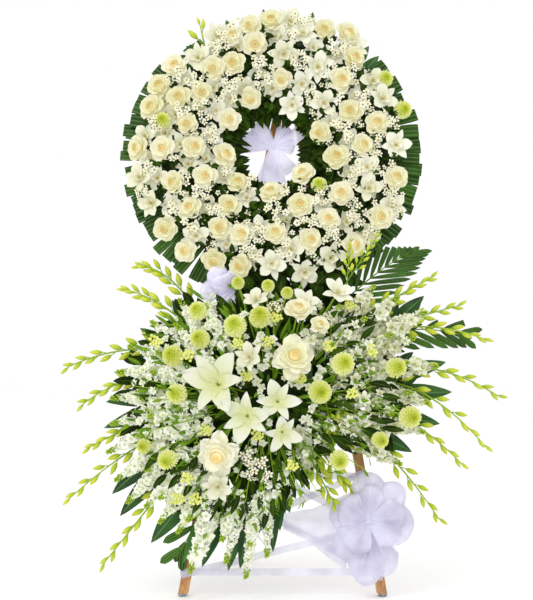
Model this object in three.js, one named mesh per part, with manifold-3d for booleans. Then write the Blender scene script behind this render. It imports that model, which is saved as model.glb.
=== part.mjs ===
// Standing funeral spray: a round rose wreath above a radiating spray, on a wooden tripod easel.
// Millimetres, +Z up, +Y to the back. The origin is on the floor, under the middle of the whole.
import * as THREE from 'three';
import { mergeVertices } from 'three/addons/utils/BufferGeometryUtils.js';
import Module from 'manifold-3d';

const wasm = await Module();
wasm.setup();

// Driving dimensions of the easel
const LEAN = THREE.MathUtils.degToRad(11);
const BATTEN = 26;
const LEFT_FOOT_X = -247;
const LEFT_SLOPE = 0.192;
const RIGHT_FOOT_X = 287;
const RIGHT_SLOPE = 0.165;
const LEG_TOP = 1450;
const GLIDE = { radius: 12.5, face: 9, height: 8 };
const RAIL = { depth: 20, height: 40 };
const GUSSET = { depth: 12, half: 60, low: 1350, high: 1440 };
const REAR_FOOT = { x: -95, back: 560 };
const REAR_TOP = { x: 12, high: 1395 };

// Driving dimensions of the wreath: its ring's middle line, its foam and what grows on it
const RING = { middle: 237, half: 70, sides: 24, sectors: 6 };
const TRAY = { back: RAIL.depth + 0.8, deep: 3 };
const FOAM = { back: TRAY.back + TRAY.deep + 0.4, front: 70 };
const MAT = 3.5;
const CROWN = { half: 108, rise: 40 };
const RIM_REACH = 412;
const FRINGE_REACH = 100;

// Driving dimensions of the lower spray's foam block in its cage
const BLOCK = { x: -15, high: 548, halfWide: 115, halfHigh: 65, back: 24.6, front: 100 };
const CAGE = { wall: 3, deep: 9 };

// Clearance between neighbours, and the sheet thickness of ribbon
const GAP = 0.35;
const RIBBON = { wide: 19, thick: 0.8, step: 1.1, layers: 3 };

// The front view in which the places of the blooms are given: a frame of 533 x 600 pixels, seen
// from an eye 4.2 m before the feet, 0.79 m above the floor; a pixel is 2.66 mm at the feet.
const VIEW = { middleX: 266.5, middleY: 300, mmPerPixel: 2.66, distance: 4200, eyeX: -22.6, eyeZ: 790 };

const finish = (color, roughness, metalness = 0) =>
  new THREE.MeshStandardMaterial({ color, roughness, metalness });
const WOOD = finish('#b07a45', 0.7);
const STEEL = finish('#8d8d90', 0.35, 0.9);
const TRAY_PLASTIC = finish('#2c4a2c', 0.6);
const FLORAL_FOAM = finish('#4f7a48', 0.95);
const LEAF = finish('#2f5a2b', 0.55);
const CREAM = finish('#f3ead0', 0.6);
const WHITE = finish('#f7f7f2', 0.55);
const LIME = finish('#cbdc6a', 0.6);
const BUD = finish('#b9cf4f', 0.5);
const ORGANZA = finish('#dcdaf0', 0.5);

// Vectors in the leaning frame: x to the right, w in front of the legs' plane, up along the slope
const FRONT = new THREE.Vector3(0, -1, 0);
const spot = (x, up, w) => new THREE.Vector3(x, -w, up);
const flatWay = (angle) => new THREE.Vector3(Math.cos(angle), 0, Math.sin(angle));
const toward = (from, way, reach) => from.clone().addScaledVector(way, reach);
const radians = THREE.MathUtils.degToRad;

// The point at depth w that the front view shows at pixel (px, py)
function seen(px, py, w) {
  const rise = (VIEW.middleY - py) * VIEW.mmPerPixel;
  const sin = Math.sin(LEAN);
  const cos = Math.cos(LEAN);
  const up = (VIEW.eyeZ + rise - w * sin - rise * w * cos / VIEW.distance)
    / (cos - rise * sin / VIEW.distance);
  const back = up * sin - w * cos;
  const x = VIEW.eyeX + (px - VIEW.middleX) * VIEW.mmPerPixel * (1 + back / VIEW.distance);
  return spot(x, up, w);
}

// A repeatable draw between -1 and 1 for the number n
function draw(n) {
  const wave = Math.sin(n * 12.9898 + 4.1) * 43758.5453;
  return 2 * (wave - Math.floor(wave)) - 1;
}

// Carries a shape whose height runs from 0 to 1 along a curve; its own +Z turns to the face way
function follow(geometry, curve, face) {
  const places = geometry.attributes.position;
  const place = new THREE.Vector3();
  for (let i = 0; i < places.count; i += 1) {
    place.fromBufferAttribute(places, i);
    const heading = curve.getTangent(place.y);
    const across = new THREE.Vector3().crossVectors(heading, face).normalize();
    const out = new THREE.Vector3().crossVectors(across, heading);
    const middle = curve.getPoint(place.y);
    middle.addScaledVector(across, place.x).addScaledVector(out, place.z);
    places.setXYZ(i, middle.x, middle.y, middle.z);
  }
  return geometry;
}

// A turned shape along a curve. The profile holds [radius, place along the curve from 0 to 1];
// thin flattens it towards its face, and ripple scales each ring's radius column by column.
function turned(profile, sides, curve, face, { thin = 1, ripple = () => 1 } = {}) {
  const rings = profile.map(([radius, along]) => new THREE.Vector2(radius, along));
  const geometry = new THREE.LatheGeometry(rings, sides);
  const places = geometry.attributes.position;
  for (let i = 0; i < places.count; i += 1) {
    const reach = ripple(i % rings.length, Math.floor(i / rings.length) % sides);
    places.setX(i, places.getX(i) * reach);
    places.setZ(i, places.getZ(i) * reach * thin);
  }
  return follow(geometry, curve, face);
}

// A bow-shaped path from a to b, lifted at its middle towards a way
function bowed(a, b, way, lift) {
  const middle = a.clone().add(b).multiplyScalar(0.5).addScaledVector(way, lift);
  return new THREE.QuadraticBezierCurve3(a, middle, b);
}

const manifoldOf = (places, index) => new wasm.Manifold(new wasm.Mesh({
  numProp: 3,
  vertProperties: new Float32Array(places),
  triVerts: new Uint32Array(index),
}));

// Moves every corner of a closed mesh out until it stands `grow` outside each face round it, though
// no more than four times as far, which blunts the sharpest tips
function swell(places, index, grow) {
  const corner = (i) => new THREE.Vector3().fromArray(places, 3 * i);
  const around = Array.from({ length: places.length / 3 }, () => []);
  for (let i = 0; i < index.length; i += 3) {
    const [a, b, c] = index.slice(i, i + 3);
    const normal = corner(b).sub(corner(a)).cross(corner(c).sub(corner(a))).normalize();
    [a, b, c].forEach((vertex) => {
      if (around[vertex].every((other) => other.dot(normal) < 0.995)) {
        around[vertex].push(normal);
      }
    });
  }
  return around.flatMap((normals, i) => {
    const shift = new THREE.Vector3();
    for (let round = 0; round < 12; round += 1) {
      normals.forEach((normal) => shift.addScaledVector(normal, Math.max(0, grow - normal.dot(shift))));
    }
    return corner(i).add(shift.clampLength(0, 4 * grow)).toArray();
  });
}

// A closed solid of a shape, `grow` thicker all round
function solid(geometry, grow = 0) {
  const bare = geometry.clone();
  bare.deleteAttribute('normal');
  bare.deleteAttribute('uv');
  const merged = mergeVertices(bare, 1e-4);
  const places = [...merged.attributes.position.array];
  const index = [];
  for (let i = 0; i < merged.index.count; i += 3) {
    const corners = [0, 1, 2].map((k) => merged.index.getX(i + k));
    if (new Set(corners).size === 3) {
      index.push(...corners);
    }
  }
  const shape = manifoldOf(places, index);
  if (shape.volume() < 0) {
    index.reverse();
  } else if (grow === 0) {
    return shape;
  }
  return manifoldOf(swell(places, index, grow), index);
}

const join = (shapes, grow = 0) => wasm.Manifold.union(shapes.map((shape) => solid(shape, grow)));

function boxesMeet(a, b) {
  const p = a.boundingBox();
  const q = b.boundingBox();
  return [0, 1, 2].every((axis) => p.min[axis] < q.max[axis] && q.min[axis] < p.max[axis]);
}

function geometryOf(body) {
  const { vertProperties, triVerts } = body.getMesh();
  const geometry = new THREE.BufferGeometry();
  geometry.setAttribute('position', new THREE.BufferAttribute(new Float32Array(vertProperties), 3));
  geometry.setIndex(new THREE.BufferAttribute(new Uint32Array(triVerts), 1));
  geometry.computeVertexNormals();
  return geometry;
}

// Everything that leans back with the front legs is set in this group's own frame
const arrangement = new THREE.Group();
const leaning = new THREE.Group();
leaning.rotation.x = -LEAN;
arrangement.add(leaning);

// Adds one piece: its shapes fused, cut clear of every piece that stands already, its scraps dropped
const standing = [];
function add(name, material, shapes, { within = null, group = leaning } = {}) {
  let body = join(shapes);
  let room = join(shapes, GAP);
  if (within) {
    body = body.intersect(within);
    room = room.intersect(within);
  }
  for (const other of standing) {
    if (other.group === group && boxesMeet(other.room, body)) {
      body = body.subtract(other.room);
    }
  }
  const parts = body.decompose().sort((a, b) => b.volume() - a.volume());
  standing.push({ room, group });
  const mesh = new THREE.Mesh(geometryOf(parts[0]), material);
  mesh.name = name;
  group.add(mesh);
}

// Stems, leaves and flowers

// A stem along a curve as far as `until`, bent at its middle where the curve asks for it
const stem = (curve, radius, until = 1, bends = true) => turned(
  [[0, 0], [radius, 0.001], ...(bends ? [[radius, until * 0.5]] : []), [radius * 0.85, until * 0.999],
    [0, until]], 3, curve, FRONT);

// A straight round peg or tied stem end
const pin = (a, b, radius, sides = 3, thin = 1) => turned(
  [[0, 0], [radius, 0.001], [radius, 0.999], [0, 1]], sides, new THREE.LineCurve3(a, b),
  Math.abs(b.y - a.y) > 0.9 * a.distanceTo(b) ? new THREE.Vector3(0, 0, 1) : FRONT, { thin });

// A pointed leaf or petal with a keel: widest at `belly` of its way
const blade = (curve, width, thick, belly = 0.4, from = 0) => turned(
  [[0, from], [width / 2, from + (1 - from) * belly], [width * 0.36, from + (1 - from) * 0.78], [0, 1]],
  3, curve, FRONT, { thin: thick / width });

// A broad-footed leaf, widest at `belly` of its way: a palm strip cut nearly square, or a fringe leaf
const strip = (curve, width, thick, belly) => turned(
  [[0, 0], [width * 0.36, 0.02], [width / 2, belly], [0, 1]], 3, curve, FRONT, { thin: thick / width });

// A flower head seen along its axis: rings of [radius, height] in head radii, lobed by ripple
function head(centre, axis, radius, profile, sides, ripple) {
  const heights = profile.map(([, height]) => height);
  const low = Math.min(...heights);
  const tall = Math.max(...heights) - low;
  const curve = new THREE.LineCurve3(toward(centre, axis, low * radius),
    toward(centre, axis, (low + tall) * radius));
  const rings = profile.map(([r, height]) => [r * radius, (height - low) / tall]);
  return turned(rings, sides, curve, new THREE.Vector3(0.31, 0.11, 1).normalize(), { ripple });
}

// Every second column of a ring drawn in, so that the ring stands in petals
const petals = (depths) => (ring, column) => 1 - (depths[ring] ?? 0) * ((column + ring) % 2);

const rose = (centre, axis, radius) => head(centre, axis, radius,
  [[0, -0.45], [1, 0.04], [0.58, 0.36], [0, 0.12]], 8, petals([0, 0.16, 0.18]));
const starFlower = (centre, axis, radius) => head(centre, axis, radius,
  [[0, -0.45], [1, 0.12], [0, 0.2]], 10, petals([0, 0.5]));
const floret = (centre, axis, radius) => head(centre, axis, radius,
  [[0, -0.9], [1, 0.3], [0, 0.1]], 5, () => 1);
const pompon = (centre, axis, radius) => head(centre, axis, radius,
  [[0, -0.85], [1, 0], [0.66, 0.64], [0, 0.68]], 8, petals([0, 0.12, 0.18]));
const doubleBloom = (centre, axis, radius) => head(centre, axis, radius,
  [[0, -0.6], [1, 0.0], [0.74, 0.02], [0.7, 0.34], [0.4, 0.26], [0, 0.44]], 8,
  petals([0, 0.2, 0, 0.22, 0]));

// Six pointed petals that open from a deep throat; between them each ring draws in by its own share
const LILY_VALLEYS = [1, 0.5, 0.35, 0.45, 1];
const lily = (centre, axis, radius) => head(centre, axis, radius,
  [[0, -0.6], [0.66, 0.08], [1, 0.15], [0.6, 0.32], [0, -0.22]], 12,
  (ring, column) => (column % 2 ? 1 : LILY_VALLEYS[ring]));

// A flower spike: florets stand out of its slim cone in turn, ring by ring
const spike = (curve, radius, from) => turned(
  [[0, from], [0.95, 0.14], [1, 0.42], [0.7, 0.72], [0, 1]]
    .map(([r, along], i) => [r * radius, i ? from + (1 - from) * along : along]),
  6, curve, FRONT, { ripple: (ring, column) => ((ring + column) % 2 ? 0.56 : 1.12) });

// A stem of pointed buds: past its bare foot, every second ring puts out a bud, left and right in turn
function budStem(root, tip, lift, buds = 5) {
  const bare = 0.36;
  const step = (1 - bare) / buds;
  const rings = [[0, 0], [2.2, 0.001]];
  for (let i = 0; i < buds; i += 1) {
    rings.push([2, bare + i * step], [2, bare + (i + 0.78) * step]);
  }
  rings.push([0, 1]);
  const ripple = (ring, column) => {
    const bud = (ring - 3) / 2;
    const own = bud >= 0 && bud < buds && column === 1 + bud % 2;
    return own ? 5.4 - 0.35 * bud : 1;
  };
  return turned(rings, 3, bowed(root, tip, new THREE.Vector3(0, 0, 1), lift), FRONT, { ripple });
}

// Palm frond: leaflets cut to the rib in the outline of one thin blade, drooping to its sides
function frond(curve, halfWide, leaflets, from, thick = 1.4) {
  const outline = new THREE.Shape();
  const rib = 3;
  outline.moveTo(-rib, 0);
  const side = (sign) => {
    for (let i = 0; i < leaflets; i += 1) {
      const step = sign < 0 ? i : leaflets - 1 - i;
      const low = (step + 0.6) / (leaflets + 1);
      const reach = halfWide * Math.sqrt(Math.sin(Math.PI * (0.16 + 0.8 * low)));
      const notch = [sign * rib, low + 0.02];
      const tip = [sign * reach, Math.min(low + 0.2 + 0.25 * low, 1.02)];
      const notchAbove = [sign * rib, low + 0.72 / (leaflets + 1)];
      const order = sign < 0 ? [notch, tip, notchAbove] : [notchAbove, tip, notch];
      order.forEach(([x, y]) => outline.lineTo(x, y));
    }
  };
  side(-1);
  outline.lineTo(0, 1);
  side(1);
  outline.lineTo(rib, 0);
  const geometry = new THREE.ExtrudeGeometry(outline, { depth: thick, bevelEnabled: false });
  const places = geometry.attributes.position;
  for (let i = 0; i < places.count; i += 1) {
    const droop = 0.22 * Math.abs(places.getX(i));
    const along = from + (1 - from) * Math.min(places.getY(i), 1);
    places.setXYZ(i, places.getX(i), along, places.getZ(i) - droop);
  }
  return follow(geometry, curve, FRONT);
}

// Puffed ribbon loops round a knot
function loops(knot, list, thick) {
  return list.map(([px, py, w, wide]) => {
    const end = seen(px, py, w);
    const curve = new THREE.LineCurve3(knot, end);
    return turned([[0, 0], [wide * 0.42, 0.42], [wide * 0.46, 0.82], [0, 1]], 6, curve,
      FRONT, { thin: thick / wide });
  });
}

// The lower spray's roots on the foam block's sides, and stems that run out of them

function blockEdge(angle, w) {
  const way = flatWay(angle);
  const reach = Math.min(BLOCK.halfWide / Math.max(Math.abs(way.x), 1e-6),
    BLOCK.halfHigh / Math.max(Math.abs(way.z), 1e-6));
  return toward(spot(BLOCK.x, BLOCK.high, w), way, reach);
}

// The flat tied end that the stems of a bunch share: it stands 30 mm deep in the foam, and each
// stem leaves it at a root of its own
function bunchEnd(degrees, w, count) {
  const way = flatWay(radians(degrees));
  const edge = blockEdge(radians(degrees), w);
  const across = new THREE.Vector3().crossVectors(way, FRONT);
  const plug = pin(toward(edge, way, -30), toward(edge, way, 16), 2.5 * count + 2, 4, 5 / (2.5 * count + 2));
  const roots = Array.from({ length: count }, (_, i) =>
    toward(toward(edge, way, 8), across, 5 * (i - (count - 1) / 2)));
  return { plug, roots };
}

// Orders tips round the block, so that stems from neighbouring roots don't cross
const inTurn = (degrees, tips) => {
  const across = new THREE.Vector3().crossVectors(flatWay(radians(degrees)), FRONT);
  return [...tips].sort((a, b) => seen(...a).dot(across) - seen(...b).dot(across));
};

function spikes(degrees, w, tips, radius = 15) {
  const { roots, plug } = bunchEnd(degrees, w, tips.length);
  return [plug, ...inTurn(degrees, tips).flatMap((tip, i) => {
    const curve = bowed(roots[i], seen(...tip), FRONT, 12);
    const from = Math.max(0.22, 1 - 210 / curve.v0.distanceTo(curve.v2));
    const full = radius * (1 + 0.12 * draw(i + degrees));
    return [stem(curve, 2.4, from + 0.04, false), spike(curve, full, from)];
  })];
}

function leaves(degrees, w, tips) {
  const { roots, plug } = bunchEnd(degrees, w, tips.length);
  return [plug, ...inTurn(degrees, tips).flatMap(([px, py, tipW, width, long], i) => {
    const curve = bowed(roots[i], seen(px, py, tipW), new THREE.Vector3(0, 0, 1), 14);
    const from = Math.max(0.02, 1 - long / curve.v0.distanceTo(curve.v2));
    return [stem(curve, 2, from + 0.05, false), blade(curve, width, 2.6, 0.42, from)];
  })];
}

function budStems(degrees, w, tips) {
  const { roots, plug } = bunchEnd(degrees, w, tips.length);
  return [plug, ...inTurn(degrees, tips).map(([px, py, tipW, lift], i) =>
    budStem(roots[i], seen(px, py, tipW), lift))];
}

// A bunch whose stems rise out of the foam's front face and spread behind their heads
function faceBunch(x, up, heads) {
  const root = spot(x, up, BLOCK.front + 6);
  const shapes = [pin(spot(x, up, BLOCK.front - 30), spot(x, up, BLOCK.front + 12), 9, 5)];
  heads.forEach(([make, px, py, w, radius]) => {
    const centre = seen(px, py, w);
    const away = centre.clone().sub(root);
    const axis = away.clone().normalize().lerp(FRONT, 0.55).normalize();
    const heel = toward(centre, axis, -radius * 0.34);
    const own = toward(root, new THREE.Vector3(away.x, 0, away.z).normalize(), 5);
    shapes.push(stem(new THREE.LineCurve3(own, heel), 2.4, 1, false));
    shapes.push(...[make(centre, axis, radius)].flat());
  });
  return shapes;
}

// The wreath: rows of heads on the ring's crown, a leaf mat below them, the foam and its tray

const WREATH_MIDDLE = seen(272, 150, 70);
const ringPoint = (angle, radius, w) => spot(WREATH_MIDDLE.x + radius * Math.cos(angle),
  WREATH_MIDDLE.z + radius * Math.sin(angle), w);
const ringAxis = new THREE.LineCurve3(ringPoint(0, 0, 0), ringPoint(0, 0, 100));
const ringSolid = (profile) => turned(profile.map(([radius, w]) => [radius, w / 100]), RING.sides,
  ringAxis, new THREE.Vector3(0, 0, 1));

// One of the wreath's equal sectors, drawn in by half the clearance on both its sides
function sector(number) {
  const turn = 2 * Math.PI / RING.sectors;
  const middle = (number + 0.5) * turn;
  const apex = 0.5 * GAP / Math.sin(turn / 2);
  const far = 700;
  const wedge = new THREE.Shape([
    new THREE.Vector2(apex * Math.cos(middle), apex * Math.sin(middle)),
    ...[-0.5, 0, 0.5].map((side) => new THREE.Vector2(
      apex * Math.cos(middle) + far * Math.cos(middle + side * turn),
      apex * Math.sin(middle) + far * Math.sin(middle + side * turn))),
  ]);
  const geometry = new THREE.ExtrudeGeometry(wedge, { depth: 400, bevelEnabled: false });
  geometry.rotateX(Math.PI / 2);
  geometry.translate(WREATH_MIDDLE.x, 100, WREATH_MIDDLE.z);
  return solid(geometry);
}

// Seats a head on the crown: outer heads look outwards and inner ones into the hole
function crownSeat(point, sink) {
  const x = point.x - WREATH_MIDDLE.x;
  const up = point.z - WREATH_MIDDLE.z;
  const angle = Math.atan2(up, x);
  const tilt = Math.asin(THREE.MathUtils.clamp((Math.hypot(x, up) - RING.middle) / 122, -0.99, 0.99));
  const lean = 0.85 * tilt;
  const axis = flatWay(angle).multiplyScalar(Math.sin(lean)).addScaledVector(FRONT, Math.cos(lean));
  const seat = ringPoint(angle, RING.middle + (CROWN.half - 8) * Math.sin(tilt),
    FOAM.front + MAT + (CROWN.rise - 4) * Math.cos(tilt));
  return { angle, centre: toward(seat, axis, sink), axis };
}

// Places of the wreath's cream roses in the front view, from the top down
const WREATH_ROSES = [
  [271, 18], [250, 25], [324, 27], [232, 34], [348, 31], [255, 44], [354, 57], [175, 65], [233, 63],
  [213, 69], [160, 85], [282, 79], [341, 80], [202, 93], [179, 98], [250, 98], [152, 107], [350, 112],
  [229, 119], [377, 124], [187, 125], [320, 133], [138, 148], [163, 150], [194, 148], [363, 147],
  [225, 156], [336, 158], [303, 174], [205, 178], [396, 178], [173, 184], [238, 183], [271, 193],
  [341, 195], [229, 207], [190, 209], [300, 206], [380, 217], [328, 221], [165, 228], [220, 229],
  [241, 236], [275, 234], [310, 241], [354, 245], [185, 250], [214, 261], [240, 266],
];
const WREATH_STARS = [
  [198, 57], [284, 54], [303, 32], [318, 67], [292, 104], [324, 103], [383, 98], [302, 84], [401, 145],
  [369, 189], [331, 258], [272, 264], [305, 272], [139, 176], [150, 202], [373, 80], [395, 205],
  [196, 236], [291, 250], [367, 168],
];
const WREATH_POMPONS = [[163, 121], [385, 77], [403, 108], [319, 186]];
const HEADS = [
  ...WREATH_ROSES.map((place) => [rose, place, 27]),
  ...WREATH_STARS.map((place) => [starFlower, place, 31]),
  ...WREATH_POMPONS.map((place) => [pompon, place, 21]),
];

function crownHeads(number) {
  const turn = 2 * Math.PI / RING.sectors;
  return HEADS.flatMap(([make, [px, py], radius], i) => {
    const { angle, centre, axis } = crownSeat(seen(px, py, 110), radius * 0.3);
    const own = Math.floor(((angle + 2 * Math.PI) % (2 * Math.PI)) / turn) === number;
    return own ? [make(centre, axis, radius * (1 + 0.07 * draw(i)))] : [];
  });
}

// Small filler flowers between the heads, an inner and an outer one
function crownFiller(number) {
  const turn = 2 * Math.PI / RING.sectors;
  const shapes = [];
  [[178, 1], [305, 1]].forEach(([radius, count], row) => {
    for (let i = 0; i < count; i += 1) {
      const angle = (number + (i + 0.5) / count) * turn + 0.05 * draw(number * 17 + row * 5 + i);
      const { centre, axis } = crownSeat(ringPoint(angle, radius + 8 * draw(i + number * 3 + row), 0), 15);
      shapes.push(floret(centre, axis, 13));
    }
  });
  return shapes;
}

const crown = () => ringSolid([
  [RING.middle - CROWN.half, 0], [RING.middle - 0.85 * CROWN.half, 0.6 * CROWN.rise],
  [RING.middle - 0.4 * CROWN.half, CROWN.rise], [RING.middle + 0.4 * CROWN.half, CROWN.rise],
  [RING.middle + 0.85 * CROWN.half, 0.6 * CROWN.rise], [RING.middle + CROWN.half, 0],
  [RING.middle - CROWN.half, 0],
].map(([radius, w]) => [radius, w + FOAM.front + MAT + 2.6 * GAP]));

const foamInner = RING.middle - RING.half;
const foamOuter = RING.middle + RING.half;
const mat = () => ringSolid([
  [1, 0, 0], [1, 1, 0], [1, 1, 1], [-1, 1, 1], [-1, 1, 0], [-1, 0, 0], [-1, 0, 1], [1, 0, 1], [1, 0, 0],
].map(([side, outside, front]) => [
  RING.middle + side * (RING.half + 1.3 * GAP + MAT * outside),
  front ? FOAM.front + 1.3 * GAP + MAT * outside : FOAM.back,
]));

// Palm strips stand out all round the rim, close at both sides and short behind the spray's top
function rimStrips(number) {
  const shapes = [];
  const turn = 360 / RING.sectors;
  const count = 7;
  for (let i = 0; i < count; i += 1) {
    const degrees = number * turn + (i + 0.5) * turn / count;
    const top = degrees > 35 && degrees < 145;
    const low = degrees > 245 && degrees < 300;
    if ((top && i % 3 === 1) || (low && i % 2 === 1)) {
      continue;
    }
    const reach = RIM_REACH - (top ? 22 : 0) - (low ? 30 : 0) + 7 * draw(degrees);
    const angle = radians(degrees);
    const w = i % 2 ? 34 : 50;
    const root = ringPoint(angle, foamOuter + 1.2, w);
    const tip = ringPoint(angle + radians(top ? 5 * draw(i) : 3), reach, w - 8);
    shapes.push(strip(bowed(root, tip, FRONT, 5), top ? 36 : 52, 3.4, 0.94));
  }
  return shapes;
}

function fringeLeaves(number) {
  const shapes = [];
  const turn = 360 / RING.sectors;
  for (let i = 0; i < 3; i += 1) {
    const degrees = number * turn + (i + 0.5) * turn / 3;
    const reach = FRINGE_REACH + 9 * draw(degrees + 3);
    const angle = radians(degrees);
    const root = ringPoint(angle, foamInner - MAT + 0.4, i % 2 ? 38 : 56);
    const tip = ringPoint(angle + 0.1 * draw(i), reach, i % 2 ? 34 : 60);
    shapes.push(strip(bowed(root, tip, FRONT, 4), 32, 3.4, 0.45));
  }
  return shapes;
}

// The easel

const floor = (height) => {
  const block = new THREE.BoxGeometry(3000, 3000, 400);
  block.translate(0, 0, height - 200);
  return block;
};
const leaned = (geometry) => geometry.applyMatrix4(new THREE.Matrix4().makeRotationX(LEAN));

function legShape(footX, slope) {
  const long = LEG_TOP * Math.hypot(1, slope) + 120;
  const geometry = new THREE.BoxGeometry(BATTEN, BATTEN, long);
  geometry.translate(0, 0, long / 2 - 120);
  geometry.rotateY(Math.atan(slope));
  geometry.translate(footX, BATTEN / 2, 0);
  return geometry;
}

const legX = (footX, slope, up) => footX + slope * up;
const headX = (LEFT_FOOT_X * RIGHT_SLOPE + RIGHT_FOOT_X * LEFT_SLOPE) / (LEFT_SLOPE + RIGHT_SLOPE);

function railShape(up, beyond) {
  const left = legX(LEFT_FOOT_X, LEFT_SLOPE, up) - beyond;
  const right = legX(RIGHT_FOOT_X, -RIGHT_SLOPE, up) + beyond;
  const geometry = new THREE.BoxGeometry(right - left, RAIL.depth, RAIL.height);
  geometry.translate((left + right) / 2, -GAP - RAIL.depth / 2, up);
  return geometry;
}

function glideShape() {
  const { radius, face, height } = GLIDE;
  const rings = [[0, 0], [face, 0], [radius, height * 0.4], [radius, height], [0, height]];
  const geometry = new THREE.LatheGeometry(rings.map(([r, z]) => new THREE.Vector2(r, z)), 8);
  geometry.rotateX(Math.PI / 2);
  return geometry;
}

function easel() {
  const cutAt = GLIDE.height + GAP;
  const wall = (side) => {
    const block = new THREE.BoxGeometry(1000, 200, 1200);
    block.translate(headX + side * (500 - GAP / 2), 0, LEG_TOP);
    return block;
  };
  const ground = solid(leaned(floor(cutAt)));
  const legs = [
    ['leg_left', legShape(LEFT_FOOT_X, LEFT_SLOPE), wall(1)],
    ['leg_right', legShape(RIGHT_FOOT_X, -RIGHT_SLOPE), wall(-1)],
  ];
  legs.forEach(([name, leg, half]) => {
    const body = solid(leg).subtract(ground).subtract(solid(half));
    add(name, WOOD, [geometryOf(body)]);
  });

  const gusset = new THREE.Shape([
    new THREE.Vector2(-GUSSET.half, GUSSET.low), new THREE.Vector2(GUSSET.half, GUSSET.low),
    new THREE.Vector2(GUSSET.half * 0.5, GUSSET.high), new THREE.Vector2(-GUSSET.half * 0.5, GUSSET.high),
  ]);
  const plate = new THREE.ExtrudeGeometry(gusset, { depth: GUSSET.depth, bevelEnabled: false });
  plate.rotateX(Math.PI / 2);
  plate.translate(headX, BATTEN + GAP + GUSSET.depth, 0);
  add('head_gusset', WOOD, [plate]);
  add('rail_wreath_top', WOOD, [railShape(RAIL_TOP_UP, 40)]);
  add('rail_wreath_low', WOOD, [railShape(RAIL_LOW_UP, 25)]);
  add('rail_spray', WOOD, [railShape(BLOCK.high, 15)]);
  const front = RAIL.depth + 2 * GAP;
  add('wreath_peg', STEEL, [pin(spot(0, WREATH_MIDDLE.z + foamInner - 6, front),
    spot(0, WREATH_MIDDLE.z + foamInner - 6, front + 34), 4.5, 6)]);
  const ledge = new THREE.BoxGeometry(90, 26, 3);
  ledge.translate(WREATH_MIDDLE.x + 40, -front - 13, WREATH_MIDDLE.z - foamOuter - MAT - GAP - 5);
  add('wreath_ledge', STEEL, [ledge]);

  // The rear leg runs from the gusset's back to its foot, bevelled to lie flat on the gusset
  const foot = new THREE.Vector3(REAR_FOOT.x, REAR_FOOT.back, 0);
  const top = spot(REAR_TOP.x, REAR_TOP.high, -BATTEN - GUSSET.depth - 2 * GAP - 8)
    .applyAxisAngle(new THREE.Vector3(1, 0, 0), -LEAN);
  const way = top.clone().sub(foot).normalize();
  const long = top.distanceTo(foot);
  const rear = new THREE.BoxGeometry(BATTEN, BATTEN, long + 60);
  rear.applyQuaternion(new THREE.Quaternion().setFromUnitVectors(new THREE.Vector3(0, 0, 1), way));
  const middle = foot.clone().lerp(top, 0.5).addScaledVector(way, -30);
  rear.translate(middle.x, middle.y, middle.z);
  const bevel = new THREE.BoxGeometry(400, 400, 3000);
  bevel.translate(0, BATTEN + GUSSET.depth + 2 * GAP - 200, 1000);
  bevel.rotateX(-LEAN);
  const rearBody = solid(rear).subtract(solid(floor(cutAt))).subtract(solid(bevel));
  add('leg_rear', WOOD, [geometryOf(rearBody)], { group: arrangement });

  const glideSpots = [
    ['glide_left', LEFT_FOOT_X, BATTEN / 2 / Math.cos(LEAN)],
    ['glide_right', RIGHT_FOOT_X, BATTEN / 2 / Math.cos(LEAN)],
    ['glide_rear', REAR_FOOT.x, REAR_FOOT.back],
  ];
  glideSpots.forEach(([name, x, y]) => {
    const mesh = new THREE.Mesh(geometryOf(solid(glideShape())), STEEL);
    mesh.name = name;
    mesh.position.set(x, y, 0);
    arrangement.add(mesh);
  });
}

// Ribbon wound over the front of the legs in straight runs: level, then rising, then falling ones,
// given by their layer and their ends in the front view
const RIBBON_RUNS = [
  ['ribbon_level_top', 0, [213, 476], [366, 476]],
  ['ribbon_level_low', 0, [180, 572], [384, 572]],
  ['ribbon_rise_low', 1, [181, 575], [377, 526]],
  ['ribbon_rise_high', 1, [191, 548], [366, 472]],
  ['ribbon_fall_high', 2, [212, 442], [378, 531]],
  ['ribbon_fall_low', 2, [203, 478], [386, 594]],
];

function ribbons() {
  RIBBON_RUNS.forEach(([name, layer, from, to]) => {
    const w = GAP + RIBBON.thick / 2 + layer * RIBBON.step;
    const a = seen(...from, w);
    const b = seen(...to, w);
    const run = new THREE.BoxGeometry(a.distanceTo(b), RIBBON.thick, RIBBON.wide);
    run.rotateY(-Math.atan2(b.z - a.z, b.x - a.x));
    run.translate((a.x + b.x) / 2, -w, (a.z + b.z) / 2);
    add(name, ORGANZA, [run]);
  });
}

function bows() {
  const onRibbons = GAP + RIBBON.layers * RIBBON.step;
  const leg = seen(367, 516, onRibbons + 20);
  add('bow_large', ORGANZA, [
    ...loops(leg, [[357, 475, 62, 92], [398, 484, 66, 92], [416, 524, 62, 96], [384, 586, 50, 92],
      [347, 572, 60, 92], [330, 528, 56, 88], [384, 508, 96, 80]], 66),
    pin(spot(leg.x, leg.z, onRibbons), spot(leg.x, leg.z, onRibbons + 60), 22, 6),
  ]);
  const behind = seen(274, 148, 8);
  add('bow_in_hole', ORGANZA, [
    ...loops(behind, [[243, 133, 8, 54], [306, 134, 8, 54], [254, 184, 7, 34], [292, 184, 7, 34]], 11),
    pin(spot(behind.x, behind.z, GAP), spot(behind.x, behind.z, 14), 13, 6),
  ]);
  const side = seen(240, 292, 12);
  add('bow_side', ORGANZA, [
    ...loops(side, [[203, 292, 44, 50], [212, 273, 40, 46], [222, 302, 40, 40]], 26),
    pin(spot(side.x + 4, side.z, GAP), spot(side.x + 4, side.z, 30), 11, 6),
  ]);
}

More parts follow.
